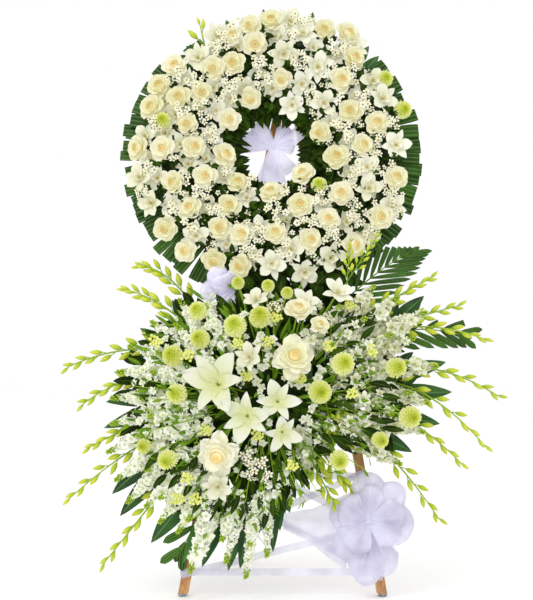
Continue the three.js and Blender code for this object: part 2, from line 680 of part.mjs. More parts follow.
// Heads of the lower spray, each bunch with its root on the foam's front face: [form, px, py, w, radius]
function sprayHeads() {
  add('blooms_high', CREAM, faceBunch(25, 580, [
    [doubleBloom, 292, 357, 205, 50], [rose, 298, 309, 168, 34], [rose, 320, 325, 176, 27],
    [starFlower, 338, 292, 152, 42], [starFlower, 249, 357, 200, 38], [starFlower, 256, 299, 158, 36],
  ]));
  add('blooms_left', WHITE, faceBunch(-75, 535, [
    [lily, 214, 382, 215, 78], [doubleBloom, 217, 457, 190, 50], [starFlower, 222, 488, 150, 34],
  ]));
  add('blooms_middle', WHITE, faceBunch(-5, 520, [
    [lily, 245, 417, 232, 62], [lily, 278, 401, 222, 52], [lily, 283, 434, 196, 46],
    [floret, 244, 458, 152, 17], [floret, 262, 469, 148, 17], [floret, 272, 481, 140, 16],
    [floret, 238, 488, 136, 16], [floret, 312, 425, 160, 17], [floret, 300, 448, 150, 16],
  ]));
  add('pompons_left', LIME, faceBunch(-95, 530, [
    [pompon, 173, 356, 148, 29], [pompon, 177, 394, 158, 28], [pompon, 168, 460, 146, 28],
    [pompon, 144, 446, 132, 20],
  ]));
  add('pompons_top', LIME, faceBunch(-30, 600, [
    [pompon, 198, 311, 136, 26], [pompon, 200, 339, 158, 27], [pompon, 235, 326, 168, 31],
    [pompon, 260, 317, 170, 30], [pompon, 238, 283, 146, 18], [pompon, 268, 286, 152, 18],
    [pompon, 287, 293, 150, 17],
  ]));
  add('pompons_right', LIME, faceBunch(75, 560, [
    [pompon, 343, 364, 186, 31], [pompon, 320, 392, 196, 31], [pompon, 396, 368, 156, 28],
    [pompon, 410, 417, 150, 30], [pompon, 380, 440, 148, 23], [pompon, 339, 460, 158, 27],
  ]));
}

// White flower spikes: [px, py, w] of each tip
function spraySpikes() {
  const w = 84;
  add('stocks_left_high', WHITE, spikes(160, w, [
    [206, 291, 98], [180, 300, 92], [152, 322, 92], [130, 346, 86], [118, 372, 92],
  ]));
  add('stocks_left_low', WHITE, spikes(192, w, [
    [112, 398, 84], [112, 424, 94], [108, 452, 84], [116, 480, 94], [128, 502, 84],
  ]));
  add('stocks_down_left', WHITE, spikes(232, w, [
    [146, 512, 92], [158, 530, 84], [178, 540, 94], [203, 548, 88],
  ]));
  add('stocks_down', WHITE, spikes(270, w, [
    [222, 562, 96], [246, 578, 88], [266, 556, 94], [285, 515, 88],
  ]));
  add('stocks_right_low', WHITE, spikes(318, w, [
    [314, 472, 92], [338, 474, 86], [374, 458, 92], [402, 460, 88], [424, 436, 92],
  ]));
  add('stocks_right_high', WHITE, spikes(22, w, [
    [444, 396, 84], [447, 362, 92], [442, 330, 86], [422, 310, 94], [398, 297, 98], [374, 286, 110],
    [350, 302, 118],
  ]));
}

// Arching stems of buds: [px, py, w, lift] of each tip
function sprayBuds() {
  const w = 58;
  add('buds_left_high', BUD, budStems(152, w, [[139, 265, 40, 40], [126, 289, 52, 36], [64, 367, 60, 46]]));
  add('buds_left_low', BUD, budStems(204, w, [
    [80, 405, 50, 40], [68, 498, 62, 50], [88, 449, 56, 36], [103, 563, 50, 50],
  ]));
  add('buds_right_high', BUD, budStems(34, w, [[431, 277, 50, 30], [458, 306, 56, 30], [484, 338, 62, 30]]));
  add('buds_right_low', BUD, budStems(346, w, [
    [499, 391, 56, 56], [486, 447, 62, 60], [462, 464, 50, 40], [439, 519, 60, 60],
  ]));
  add('buds_down', BUD, budStems(300, w, [[335, 506, 64, 20], [353, 493, 54, 24]]));
}

// Broad leaves behind the flowers: [px, py, w, width, length] of each tip
function sprayLeaves() {
  const w = 39;
  add('leaves_left', LEAF, leaves(186, w, [
    [172, 300, 26, 46, 190], [140, 328, 34, 44, 190], [114, 372, 24, 46, 200], [106, 402, 32, 44, 200],
    [104, 428, 24, 44, 200], [112, 450, 34, 42, 180], [112, 494, 24, 46, 200], [120, 516, 34, 44, 190],
  ]));
  add('leaves_down', LEAF, leaves(262, w, [
    [202, 567, 30, 36, 190], [228, 571, 22, 40, 220], [246, 553, 32, 38, 200], [257, 538, 22, 40, 190],
    [273, 552, 34, 38, 210], [280, 531, 24, 40, 190],
  ]));
  add('leaves_right', LEAF, leaves(340, w, [
    [302, 488, 26, 46, 150], [357, 457, 30, 44, 150], [385, 470, 22, 40, 160], [412, 452, 32, 44, 170],
    [440, 424, 24, 44, 190], [452, 392, 32, 46, 190], [446, 362, 24, 42, 180],
  ]));
  const fronds = [
    ['frond_right_high', 50, [430, 247, 30], 74, FRONT, 26],
    ['frond_right', 22, [481, 338, 22], 60, FRONT, 30],
    ['frond_left_low', 238, [150, 570, 30], 78, FRONT, 20],
  ];
  fronds.forEach(([name, angle, tip, halfWide, way, lift]) => {
    const edge = blockEdge(radians(angle), w);
    const out = flatWay(radians(angle));
    const curve = bowed(toward(edge, out, -28), seen(...tip), way, lift);
    add(name, LEAF, [stem(curve, 3.2, 0.2, false), frond(curve, halfWide, 7, 0.14)]);
  });
}

function sprayHolder() {
  const { x, high, halfWide, halfHigh, back, front } = BLOCK;
  const foam = new THREE.BoxGeometry(2 * halfWide, front - back, 2 * halfHigh);
  foam.translate(x, -(front + back) / 2, high);
  add('spray_foam', FLORAL_FOAM, [foam]);
  const rim = CAGE.wall + GAP;
  const outer = new THREE.BoxGeometry(2 * (halfWide + rim), CAGE.deep, 2 * (halfHigh + rim));
  outer.translate(x, -(back - GAP - CAGE.wall + CAGE.deep / 2), high);
  add('spray_tray', TRAY_PLASTIC, [outer]);
}

function wreath() {
  for (let number = 0; number < RING.sectors; number += 1) {
    add(`wreath_blooms_${number + 1}`, CREAM, [crown(), ...crownHeads(number), ...crownFiller(number)],
      { within: sector(number) });
  }
  for (let number = 0; number < RING.sectors; number += 1) {
    add(`wreath_leaves_${number + 1}`, LEAF, [mat(), ...rimStrips(number), ...fringeLeaves(number)],
      { within: sector(number) });
  }
  add('wreath_foam', FLORAL_FOAM, [ringSolid([
    [foamOuter, FOAM.back], [foamOuter, FOAM.front], [foamInner, FOAM.front], [foamInner, FOAM.back],
    [foamOuter, FOAM.back],
  ])]);
  add('wreath_tray', TRAY_PLASTIC, [ringSolid([
    [foamOuter + MAT, TRAY.back], [foamOuter + MAT, TRAY.back + TRAY.deep],
    [foamInner - MAT, TRAY.back + TRAY.deep], [foamInner - MAT, TRAY.back], [foamOuter + MAT, TRAY.back],
  ])]);
}

const RAIL_TOP_UP = WREATH_MIDDLE.z + foamInner - 6;
const RAIL_LOW_UP = WREATH_MIDDLE.z - foamOuter - 6;

easel();
ribbons();
bows();
sprayHeads();
spraySpikes();
sprayBuds();
sprayLeaves();
wreath();
sprayHolder();

// The origin goes to the floor, under the middle of the whole
const whole = new THREE.Box3().setFromObject(arrangement, true);
arrangement.position.set(-(whole.min.x + whole.max.x) / 2, -(whole.min.y + whole.max.y) / 2, -whole.min.z);

export default arrangement;
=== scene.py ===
"""Standing funeral spray: blooms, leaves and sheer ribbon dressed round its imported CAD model.

Shapes are worked out in the easel's own leaning frame, in millimetres: x to the right, y to the
back and z up the slope of the front legs. `world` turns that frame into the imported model's, in metres.
A bloom is made once, about one unit in radius with its axis along +Z, and planted many times.
"""

import math
from functools import partial

import bpy
import numpy as np
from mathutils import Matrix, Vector

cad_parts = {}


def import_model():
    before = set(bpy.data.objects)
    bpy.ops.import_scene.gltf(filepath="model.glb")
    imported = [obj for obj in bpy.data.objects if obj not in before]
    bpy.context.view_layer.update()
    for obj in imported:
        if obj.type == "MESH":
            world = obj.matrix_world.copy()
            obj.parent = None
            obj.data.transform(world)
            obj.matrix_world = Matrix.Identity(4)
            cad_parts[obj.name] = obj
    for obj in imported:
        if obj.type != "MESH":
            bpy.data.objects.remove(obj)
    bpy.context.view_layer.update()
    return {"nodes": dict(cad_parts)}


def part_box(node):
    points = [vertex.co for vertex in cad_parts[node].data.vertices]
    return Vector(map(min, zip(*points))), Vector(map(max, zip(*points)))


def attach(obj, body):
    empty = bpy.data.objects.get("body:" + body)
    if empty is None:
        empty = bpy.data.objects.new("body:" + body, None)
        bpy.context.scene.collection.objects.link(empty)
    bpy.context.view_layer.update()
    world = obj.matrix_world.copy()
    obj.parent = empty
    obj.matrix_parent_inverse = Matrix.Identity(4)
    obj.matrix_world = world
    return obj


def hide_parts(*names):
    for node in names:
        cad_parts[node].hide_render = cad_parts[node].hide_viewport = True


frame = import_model()

# Driving dimensions, repeated from the part's source, in millimetres
LEAN = math.radians(11)
LEFT_FOOT_X = -247.0
BATTEN = 26.0
FOOT_Y = BATTEN / 2 / math.cos(LEAN)
RING_MIDDLE, CROWN_HALF, CROWN_RISE = 237.0, 108.0, 40.0
FOAM_FRONT, MAT = 70.0, 3.5
BLOCK_X, BLOCK_UP, BLOCK_HALF_WIDE, BLOCK_HALF_HIGH, BLOCK_FRONT = -15.0, 548.0, 115.0, 65.0, 100.0
RIBBON_WIDE, RIBBON_LAYER, RIBBON_GAP = 19.0, 1.1, 0.75

# The front view in which places are given: 533 x 600 pixels of 2.66 mm at the feet, seen from an eye
# 4.2 m before the feet and 0.79 m above the floor
VIEW_WIDE, VIEW_HIGH = 533, 600
MM_PER_PIXEL, EYE_BACK, EYE_X, EYE_UP = 2.66, 4200.0, -22.6, 790.0

FRONT = np.array([0.0, -1.0, 0.0])
UP = np.array([0.0, 0.0, 1.0])
DOWN = -UP
GOLDEN = math.pi * (3 - math.sqrt(5))

left_low, left_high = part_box("glide_left")
ORIGIN_X = 500 * (left_low.x + left_high.x) - LEFT_FOOT_X
ORIGIN_Y = 500 * (left_low.y + left_high.y) - FOOT_Y


def world(points):
    """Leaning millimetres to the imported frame's metres: a turn by LEAN about x, then the shift."""
    x, y, z = np.moveaxis(np.asarray(points, float), -1, 0)
    back = y * math.cos(LEAN) + z * math.sin(LEAN)
    high = z * math.cos(LEAN) - y * math.sin(LEAN)
    return np.stack([x + ORIGIN_X, back + ORIGIN_Y, high], -1) / 1000


def spot(x, up, w):
    """The point w in front of the legs' plane."""
    x, up, w = np.broadcast_arrays(*(np.asarray(value, float) for value in (x, up, w)))
    return np.stack([x, -w, up], -1)


def seen(px, py, w):
    """The point at depth w that the front view shows at pixel (px, py)."""
    px, py, w = (np.asarray(value, float) for value in (px, py, w))
    rise = (VIEW_HIGH / 2 - py) * MM_PER_PIXEL
    sin, cos = math.sin(LEAN), math.cos(LEAN)
    up = (EYE_UP + rise - w * sin - rise * w * cos / EYE_BACK) / (cos - rise * sin / EYE_BACK)
    back = up * sin - w * cos
    x = EYE_X + (px - VIEW_WIDE / 2) * MM_PER_PIXEL * (1 + back / EYE_BACK)
    return spot(x, up, w)


def columns(table):
    """A table's columns as arrays."""
    return np.array(table, float).T


def unit(vectors):
    """Vectors scaled to length one."""
    vectors = np.asarray(vectors, float)
    return vectors / np.maximum(np.linalg.norm(vectors, axis=-1, keepdims=True), 1e-9)


def drawn(count, seed, low=-1.0, high=1.0):
    """Repeatable even draws between low and high."""
    return np.random.default_rng(seed).uniform(low, high, count)


def jitter(count, *seeds):
    """Random vectors, each part an even draw from -1 to 1 with its own seed."""
    return np.stack([drawn(count, seed) for seed in seeds], -1)


class Patch:
    """A stretch of surface: points, quads, and for each point its uv, tone and shade."""

    def __init__(self, points, quads, uv, tone, shade):
        self.points = points.reshape(-1, 3)
        self.quads = quads
        self.uv = uv.reshape(-1, 2)
        self.tone = tone.reshape(-1)
        self.shade = shade.reshape(-1)


def joined(patches):
    """Several patches as one."""
    starts = np.cumsum([0] + [len(patch.points) for patch in patches[:-1]])
    quads = np.concatenate([patch.quads + start for patch, start in zip(patches, starts)])
    points, uv, tone, shade = (np.concatenate([getattr(patch, name) for patch in patches])
                               for name in ("points", "uv", "tone", "shade"))
    return Patch(points, quads, uv, tone, shade)


def surface(points, u, v, tone=0.0, shade=0.0, closed=False):
    """The patch over one or more grids of rows x columns points; u, v and tone spread over them, each grid
    has its own shade, and closed joins the last column to the first."""
    shape = points.shape[:-1]
    rows, across = shape[-2:]
    sheets = points.size // (3 * rows * across)
    row = np.arange(rows - 1)[:, None]
    column = np.arange(across if closed else across - 1)[None, :]
    beside = (column + 1) % across
    corners = [row * across + column, row * across + beside,
               (row + 1) * across + beside, (row + 1) * across + column]
    one = np.stack(np.broadcast_arrays(*corners), -1).reshape(-1, 4)
    quads = (np.arange(sheets)[:, None, None] * rows * across + one).reshape(-1, 4)
    uv = np.stack([np.broadcast_to(value, shape) for value in (u, v)], -1)
    shades = np.repeat(np.zeros(sheets) + shade, rows * across)
    return Patch(points, quads, uv, np.broadcast_to(tone, shape), shades)


def whorl(count, length, width, tilt, curl, cup, belly, point, turn, out, lift, ruffle, scatter, tones,
          rows, across, seed, spiral=False):
    """Petals round +Z. Along a petal v runs from 0 to 1, and its spine leans tilt + curl v^2 degrees
    from the axis. Across it u runs from -1 to 1 on an arc of half-angle cup, so its edges rise. The half
    width grows as a sine up to belly, then falls as an ellipse, or straighter as point goes to 1; petals
    with little point end blunt."""
    rng = np.random.default_rng(seed)

    def each(value, loose=0.0):
        return ((np.zeros(count) + value) * (1 + loose * rng.uniform(-1, 1, count)))[:, None, None]

    v = np.linspace(0, 1, rows)[None, :, None]
    u = np.linspace(-1, 1, across)[None, None, :]
    long, wide, arc = (each(value, scatter) for value in (length, width, cup))
    lean = np.radians(each(tilt, scatter) + each(curl, 2 * scatter) * v ** 2)
    step = np.concatenate([np.zeros_like(lean[:, :1]), (lean[:, 1:] + lean[:, :-1]) / 2], 1)
    size = long * np.where(v > 0, 1 / (rows - 1), 0)
    radius = each(out) + np.cumsum(np.sin(step) * size, 1)
    height = each(lift) + np.cumsum(np.cos(step) * size, 1)
    rising = 0.3 + 0.7 * np.sin(math.pi / 2 * np.minimum(v / belly, 1))
    falling = (1 - np.clip((v - belly) / (1 - belly), 0, 1) ** (2 - 0.6 * point)) ** (0.5 + 0.5 * point)
    blunt = 0.06 + 0.38 * max(0.0, 1 - 2.5 * point)
    half = wide / 2 * np.maximum(np.where(v < belly, rising, falling), blunt)
    side = half * np.sin(arc * u) / arc
    rise = half * (1 - np.cos(arc * u)) / arc
    rise = rise + ruffle * long * np.sin(2.6 * math.pi * u + 7 * each(1.0, 1.0)) * v ** 3
    n = np.arange(count)
    angle = (n * GOLDEN if spiral else 2 * math.pi * n / count)[:, None, None] + turn
    angle = angle + scatter * each(1.0, 1.0) * 2 - 2 * scatter
    cos, sin = np.cos(angle), np.sin(angle)
    away = radius - rise * np.cos(lean)
    points = np.stack([away * cos - side * sin, away * sin + side * cos, height + rise * np.sin(lean)], -1)
    low, high = (each(tone) for tone in tones)
    return surface(points, (u + 1) / 2, v, low + (high - low) * v)


def frames_on(axes):
    """Two ways square to each axis, and the axis."""
    z = unit(axes)
    x = unit(np.cross(np.array([0.31, 0.11, 1.0]), z))
    return x, np.cross(z, x), z


def planted(bloom, centres, axes, sizes, seed):
    """Copies of a bloom, each scaled, spun about its axis and turned so that its +Z is that axis."""
    centres, axes = np.atleast_2d(centres), np.atleast_2d(axes)
    count = len(centres)
    x, y, z = frames_on(axes)
    angle = drawn(count, seed, 0, 2 * math.pi)[:, None]
    x, y = np.cos(angle) * x + np.sin(angle) * y, np.cos(angle) * y - np.sin(angle) * x
    local = bloom.points[None] * (np.zeros(count) + sizes)[:, None, None]
    points = centres[:, None] + (local[..., :1] * x[:, None] + local[..., 1:2] * y[:, None]
                                 + local[..., 2:] * z[:, None])
    quads = (np.arange(count)[:, None, None] * len(bloom.points) + bloom.quads[None]).reshape(-1, 4)
    shade = np.repeat(drawn(count, seed + 1, 0, 1), len(bloom.points))
    return Patch(points, quads, np.tile(bloom.uv, (count, 1)), np.tile(bloom.tone, count), shade)


def tubes(paths, radii, sides=6, tones=(0.0, 1.0), seed=0):
    """Round stems along paths (count, rows, 3): each ring of the given radii stands square to its path."""
    count, rows = paths.shape[:2]
    radii = np.broadcast_to(radii, (count, rows))
    heading = unit(np.gradient(paths, axis=1))
    side = unit(np.cross(heading, np.where(np.abs(heading[..., 1:2]) > 0.85, UP, FRONT)))
    top = np.cross(heading, side)
    angle = 2 * math.pi * np.arange(sides) / sides
    ring = (np.cos(angle)[:, None] * side[:, :, None] + np.sin(angle)[:, None] * top[:, :, None])
    points = paths[:, :, None] + radii[:, :, None, None] * ring
    v = np.linspace(0, 1, rows)[None, :, None]
    tone = tones[0] + (tones[1] - tones[0]) * v
    return surface(points, np.arange(sides) / sides, v, tone, drawn(count, seed, 0, 1), closed=True)


def blades(paths, halves, face, fold, wave, across, seed=0):
    """Leaves along paths (count, rows, 3) with half widths `halves`: across, the leaf is a shallow V whose
    edges rise fold times their way out, and wave sets a lengthwise ripple at its edges."""
    count, rows = paths.shape[:2]
    halves = np.broadcast_to(np.asarray(halves, float), (count, rows))[:, :, None]
    heading = unit(np.gradient(paths, axis=1))
    face = np.broadcast_to(np.asarray(face, float).reshape(-1, 1, 3), heading.shape)
    side = unit(np.cross(heading, face))
    out = np.cross(side, heading)
    u = np.linspace(-1, 1, across)[None, None, :]
    v = np.linspace(0, 1, rows)[None, :, None]
    phase = drawn(count, seed + 5, 0, 6)[:, None, None]
    rise = halves * (fold * np.abs(u) + wave * np.abs(u) ** 2 * np.sin(9 * v + phase + 2 * u))
    points = paths[:, :, None] + (halves * u)[..., None] * side[:, :, None]
    return surface(points + rise[..., None] * out[:, :, None], (u + 1) / 2, v, v, drawn(count, seed, 0, 1))


def arcs(starts, ends, lift, rows):
    """Paths from starts to ends, bowed by `lift` at the middle as a quadratic curve."""
    starts, ends = np.atleast_2d(starts), np.atleast_2d(ends)
    middles = (starts + ends) / 2 + lift
    t = np.linspace(0, 1, rows)[None, :, None]
    return (1 - t) ** 2 * starts[:, None] + 2 * t * (1 - t) * middles[:, None] + t ** 2 * ends[:, None]


def at(path, t):
    """Points and headings of one path (rows, 3) at places t from 0 to 1."""
    steps = np.linspace(0, 1, len(path))
    headings = unit(np.gradient(path, axis=0))
    points, ways = (np.stack([np.interp(t, steps, values[:, k]) for k in range(3)], -1)
                    for values in (path, headings))
    return points, unit(ways)


def round_stem(path, t, turn=0.0):
    """Points of a stem at places t, a way out of it at each, turned by the golden angle, and its heading."""
    middle, heading = at(path, t)
    x, y, z = frames_on(heading)
    angle = (np.arange(len(t)) * GOLDEN + turn)[:, None]
    return middle, np.cos(angle) * x + np.sin(angle) * y, z


# A leaf's fullest place, its least share of the width at the foot, and what its edge adds to it
LEAF_BELLY, LEAF_FOOT, LEAF_EDGE = 0.42, 0.12, 0.35


def leaf_halves(width, rows):
    """Half widths of a pointed leaf: a sine power curve that is fullest at LEAF_BELLY."""
    t = np.linspace(0, 1, rows)
    shape = np.sin(math.pi * t ** (math.log(0.5) / math.log(LEAF_BELLY))) ** 0.8
    return np.maximum(shape, LEAF_FOOT * (t < 0.5)) * width / 2 + LEAF_EDGE


# Materials

def linear(code, alpha=1.0):
    """An sRGB hex colour as linear light."""
    parts = [int(code[k:k + 2], 16) / 255 for k in (1, 3, 5)]
    return [p / 12.92 if p <= 0.04045 else ((p + 0.055) / 1.055) ** 2.4 for p in parts] + [alpha]


def connect(made, inputs):
    """Sets a node's inputs, each to a value or to another node's output."""
    for name, value in inputs.items():
        if isinstance(value, bpy.types.NodeSocket):
            made.id_data.links.new(value, made.inputs[name])
        else:
            made.inputs[name].default_value = value


def node(tree, kind, inputs=None, stops=(), **settings):
    """Adds one node with its settings and inputs; stops fill a ramp."""
    made = tree.nodes.new(f"ShaderNode{kind}")
    for name, value in settings.items():
        setattr(made, name, value)
    connect(made, inputs or {})
    for i, (place, code) in enumerate(stops):
        element = made.color_ramp.elements[i] if i < 2 else made.color_ramp.elements.new(place)
        element.position, element.color = place, linear(code)
    return made


def finish(name, roughness, **constants):
    """A material with its shader's constants; returns it, what adds a node to it, and the shader."""
    material = bpy.data.materials.new(name)
    material.use_nodes = True
    shader = material.node_tree.nodes["Principled BSDF"]
    connect(shader, {"Roughness": roughness, **{key.replace("_", " "): constants[key] for key in constants}})
    return material, partial(node, material.node_tree), shader


def petal(name, stops, tint, veins=7.0, roughness=0.55, sheen=0.15, glow=0.1):
    """Fresh petal: colour runs from heart to rim, each bloom leans a little to `tint`, and fine veins run
    from foot to tip, drawn 2 mm apart so that they show. Its glow stands for light that passes through."""
    material, add, shader = finish(name, roughness, Sheen_Weight=sheen, Specular_IOR_Level=0.25,
                                   Emission_Strength=glow)
    tone, shade = (add("Attribute", attribute_name=label).outputs["Fac"] for label in ("tone", "shade"))
    place = add("TexCoord").outputs["Object"]
    cloud = add("TexNoise", {"Vector": place, "Scale": 60.0, "Detail": 2.0}).outputs["Fac"]
    drift = add("Math", {0: cloud, 1: 0.16, 2: -0.08}, operation="MULTIPLY_ADD").outputs[0]
    moved = add("Math", {0: tone, 1: drift}, operation="ADD").outputs[0]
    base = add("ValToRGB", {"Fac": moved}, stops).outputs["Color"]
    amount = add("Math", {0: shade, 1: 0.5}, operation="MULTIPLY").outputs[0]
    colour = add("Mix", {0: amount, 6: base, 7: linear(tint)}, data_type="RGBA",
                 blend_type="MULTIPLY").outputs[2]
    uv = add("UVMap", uv_map="UVMap").outputs["UV"]
    scaled = add("Mapping", {"Vector": uv, "Scale": (veins, 0.6, 1.0)}).outputs["Vector"]
    wave = add("TexWave", {"Vector": scaled, "Scale": 0.5, "Distortion": 1.5, "Detail": 1.0},
               bands_direction="X").outputs["Fac"]
    bump = add("Bump", {"Height": wave, "Strength": 0.12, "Distance": 0.0004}).outputs["Normal"]
    connect(shader, {"Base Color": colour, "Emission Color": colour, "Normal": bump})
    return material


def leaf(name, dark, mid, light, rib, roughness=0.42, ribs=10.0, stripes=0.0, specular=0.3):
    """Waxy leaf: a pale midrib, side veins that slant from it about 6 mm apart, or `stripes` pale lines
    along it, and patches of lighter and darker green."""
    material, add, shader = finish(name, roughness, Specular_IOR_Level=specular)
    shade = add("Attribute", attribute_name="shade").outputs["Fac"]
    place = add("TexCoord").outputs["Object"]
    cloud = add("TexNoise", {"Vector": place, "Scale": 22.0, "Detail": 3.0}).outputs["Fac"]
    mixed = add("Math", {0: shade, 1: 0.55, 2: cloud}, operation="MULTIPLY_ADD").outputs[0]
    amount = add("Math", {0: mixed, 1: 0.25}, operation="SUBTRACT").outputs[0]
    green = add("ValToRGB", {"Fac": amount}, [(0.0, dark), (0.5, mid), (1.0, light)]).outputs["Color"]
    uv = add("UVMap", uv_map="UVMap").outputs["UV"]
    parts = add("SeparateXYZ", {"Vector": uv}).outputs
    off = add("Math", {0: parts["X"], 1: 0.5}, operation="SUBTRACT").outputs[0]
    from_rib = add("Math", {0: off}, operation="ABSOLUTE").outputs[0]
    if stripes:
        turns = add("Math", {0: from_rib, 1: stripes * 2 * math.pi}, operation="MULTIPLY").outputs[0]
        value = add("Math", {0: turns}, operation="COSINE").outputs[0]
        spread = (0.2, 1.0, 0.0, 0.5)
    else:
        value, spread = from_rib, (0.0, 0.07, 0.55, 0.0)
    limits = dict(zip(("From Min", "From Max", "To Min", "To Max"), spread))
    near = add("MapRange", {"Value": value, **limits}).outputs["Result"]
    colour = add("Mix", {0: near, 6: green, 7: linear(rib)}, data_type="RGBA").outputs[2]
    slanted = add("Math", {0: from_rib, 1: -2.2, 2: parts["Y"]}, operation="MULTIPLY_ADD").outputs[0]
    comb = add("Math", {0: slanted, 1: ribs * 2 * math.pi}, operation="MULTIPLY").outputs[0]
    vein = add("Math", {0: comb}, operation="SINE").outputs[0]
    bump = add("Bump", {"Height": vein, "Strength": 0.35, "Distance": 0.0006}).outputs["Normal"]
    connect(shader, {"Base Color": colour, "Normal": bump})
    return material


# Cream garden rose: butter yellow heart, rims nearly white
CREAM_ROSE = petal("cream_rose_petal", [
    (0.0, "#F8C66A"), (0.13, "#FADA8E"), (0.3, "#F5E6AA"), (0.55, "#E8E3BE"), (1.0, "#E4E2CE")], "#EFEECC",
    glow=0.17)
# White orchid and star blooms: a small yellow-green throat, then clean white
WHITE_STAR = petal("white_orchid_petal", [
    (0.0, "#D9A23C"), (0.1, "#E4C468"), (0.24, "#E4DFAE"), (0.5, "#E4E3CA"), (1.0, "#EAEADD")], "#E9E9CC",
    glow=0.08)
# Lily: green-yellow throat, cool white blade
WHITE_LILY = petal("white_lily_petal", [
    (0.0, "#F4F4AE"), (0.14, "#F2F2B6"), (0.32, "#E0E4B4"), (0.65, "#DDE0C8"), (1.0, "#E4E4DC")], "#EDEFD6",
    veins=9.0, roughness=0.48, glow=0.06)
# Stock florets: green-cream heart, white ruffles
WHITE_STOCK = petal("white_stock_petal", [
    (0.0, "#A4B840"), (0.16, "#CDD686"), (0.36, "#E0E4BC"), (0.65, "#F0F1E4"), (1.0, "#F6F7F3")], "#EAF0CA",
    glow=0.14)
# Stock florets on the right side, with painted shade: the same petals, a little duller and yellower, and
# with less glow
SHADED_STOCK = petal("white_stock_petal_in_shade", [
    (0.0, "#A4B840"), (0.16, "#C4CC74"), (0.36, "#D6DAA8"), (0.65, "#E4E6CE"), (1.0, "#EAEBDE")], "#E6E8C0",
    glow=0.08)
# Wax flower: tan cup, five small white petals
WAX_FLOWER = petal("wax_flower_petal", [
    (0.0, "#7C5A22"), (0.14, "#A8823A"), (0.3, "#DCD690"), (0.5, "#EDECD0"), (1.0, "#F2F1E4")], "#EEEBC8")
# Green button chrysanthemum: deep lime in the heart, cream rims
LIME_POMPON = petal("green_button_petal", [
    (0.0, "#66800E"), (0.14, "#A6B624"), (0.32, "#CCD44E"), (0.62, "#DFE386"), (1.0, "#E9EBC0")], "#E6E698",
    glow=0.16)
# Large double bloom: peach globe inside white scalloped rims
PEACH_DOUBLE = petal("peach_heart_petal", [
    (0.0, "#FCE6B4"), (0.2, "#FAE8B8"), (0.38, "#F3E8BE"), (0.6, "#E8E5C8"), (1.0, "#E6E5D4")], "#EEEFD0",
    glow=0.2)
# Orchid buds: yellow-green, warmer at their tips
ORCHID_BUD = petal("orchid_bud_skin", [
    (0.0, "#869E1E"), (0.3, "#AEC02C"), (0.62, "#C6D03E"), (0.88, "#CFCB48"), (1.0, "#C8B048")], "#CFE084",
    veins=5.0, roughness=0.4, sheen=0.05, glow=0.1)
# Fresh stems: smooth yellow-green
STEM = petal("green_stem_skin", [(0.0, "#4C7014"), (0.5, "#7CA022"), (1.0, "#AEC63C")], "#D6E2A0",
             veins=3.0, roughness=0.5, sheen=0.0, glow=0.05)
# Palm: dark and pleated, with pale lines; salal: broad and glossy; ruscus: small, its own dark green painted
# near-black as painted shade for the depths of the wreath and the spray; the narrow leaves of the stocks:
# bright yellow-green
PALM = leaf("palm_leaf", "#16290A", "#2C4E10", "#467420", "#6E9A48", 0.5, ribs=0.0, stripes=3.0,
            specular=0.2)
BROAD_LEAF = leaf("broad_salal_leaf", "#1C3818", "#326028", "#528A3C", "#8CB070")
SMALL_SHADED_LEAF = leaf("small_ruscus_leaf_painted_shade", "#0E1A02", "#233A04", "#40600A", "#688022", 0.55, specular=0.1)
BRIGHT_LEAF = leaf("bright_stock_leaf", "#3A5A08", "#628E0E", "#93B92C", "#AECA4A", 0.5, specular=0.2)


def organza_finish(name, glow, alpha):
    """Organza: sheer woven nylon, lilac-white, with painted highlights and shade: a noise paints whiter and
    greyer patches over it; `glow` is painted light that stands for the light that comes through the cloth.
    Its real threads lie 0.25 mm apart; the weave is drawn at 2 mm so that it shows."""
    material, add, shader = finish(name, 0.38, Sheen_Weight=0.6, Sheen_Roughness=0.3,
                                   Specular_IOR_Level=0.6, Emission_Strength=glow, Alpha=alpha)
    uv = add("UVMap", uv_map="UVMap").outputs["UV"]
    place = add("TexCoord").outputs["Object"]
    cloud = add("TexNoise", {"Vector": place, "Scale": 14.0, "Detail": 2.0}).outputs["Fac"]
    # Painted highlights and shade: the noise runs from greyer to whiter lilac
    colour = add("ValToRGB", {"Fac": cloud}, [(0.35, "#C9C4DA"), (0.65, "#E8E7F9")]).outputs["Color"]
    warp, weft = (add("TexWave", {"Vector": uv, "Scale": 24.0}, bands_direction=way).outputs["Fac"]
                  for way in ("X", "Y"))
    weave = add("Math", {0: warp, 1: weft}, operation="ADD").outputs[0]
    bump = add("Bump", {"Height": weave, "Strength": 0.15, "Distance": 0.0003}).outputs["Normal"]
    connect(shader, {"Base Color": colour, "Emission Color": colour, "Normal": bump})
    return material


def wood_finish():
    """Varnished pine batten: tan-brown with darker grain lines along the batten, about 4 mm apart."""
    material, add, shader = finish("varnished_pine", 0.42, Coat_Weight=0.25, Coat_Roughness=0.25)
    place = add("TexCoord").outputs["Object"]
    along = add("Mapping", {"Vector": place, "Scale": (1.0, 1.0, 0.06)}).outputs["Vector"]
    grain = add("TexNoise", {"Vector": along, "Scale": 260.0, "Detail": 5.0,
                             "Roughness": 0.6}).outputs["Fac"]
    bands = add("TexNoise", {"Vector": along, "Scale": 60.0, "Detail": 2.0}).outputs["Fac"]
    both = add("Math", {0: grain, 1: bands}, operation="ADD").outputs[0]
    half = add("Math", {0: both, 1: 0.5}, operation="MULTIPLY").outputs[0]
    stops = [(0.36, "#96602E"), (0.5, "#C28A50"), (0.64, "#D8A870")]
    bump = add("Bump", {"Height": grain, "Strength": 0.2, "Distance": 0.0003}).outputs["Normal"]
    connect(shader, {"Base Color": add("ValToRGB", {"Fac": half}, stops).outputs["Color"], "Normal": bump})
    return material


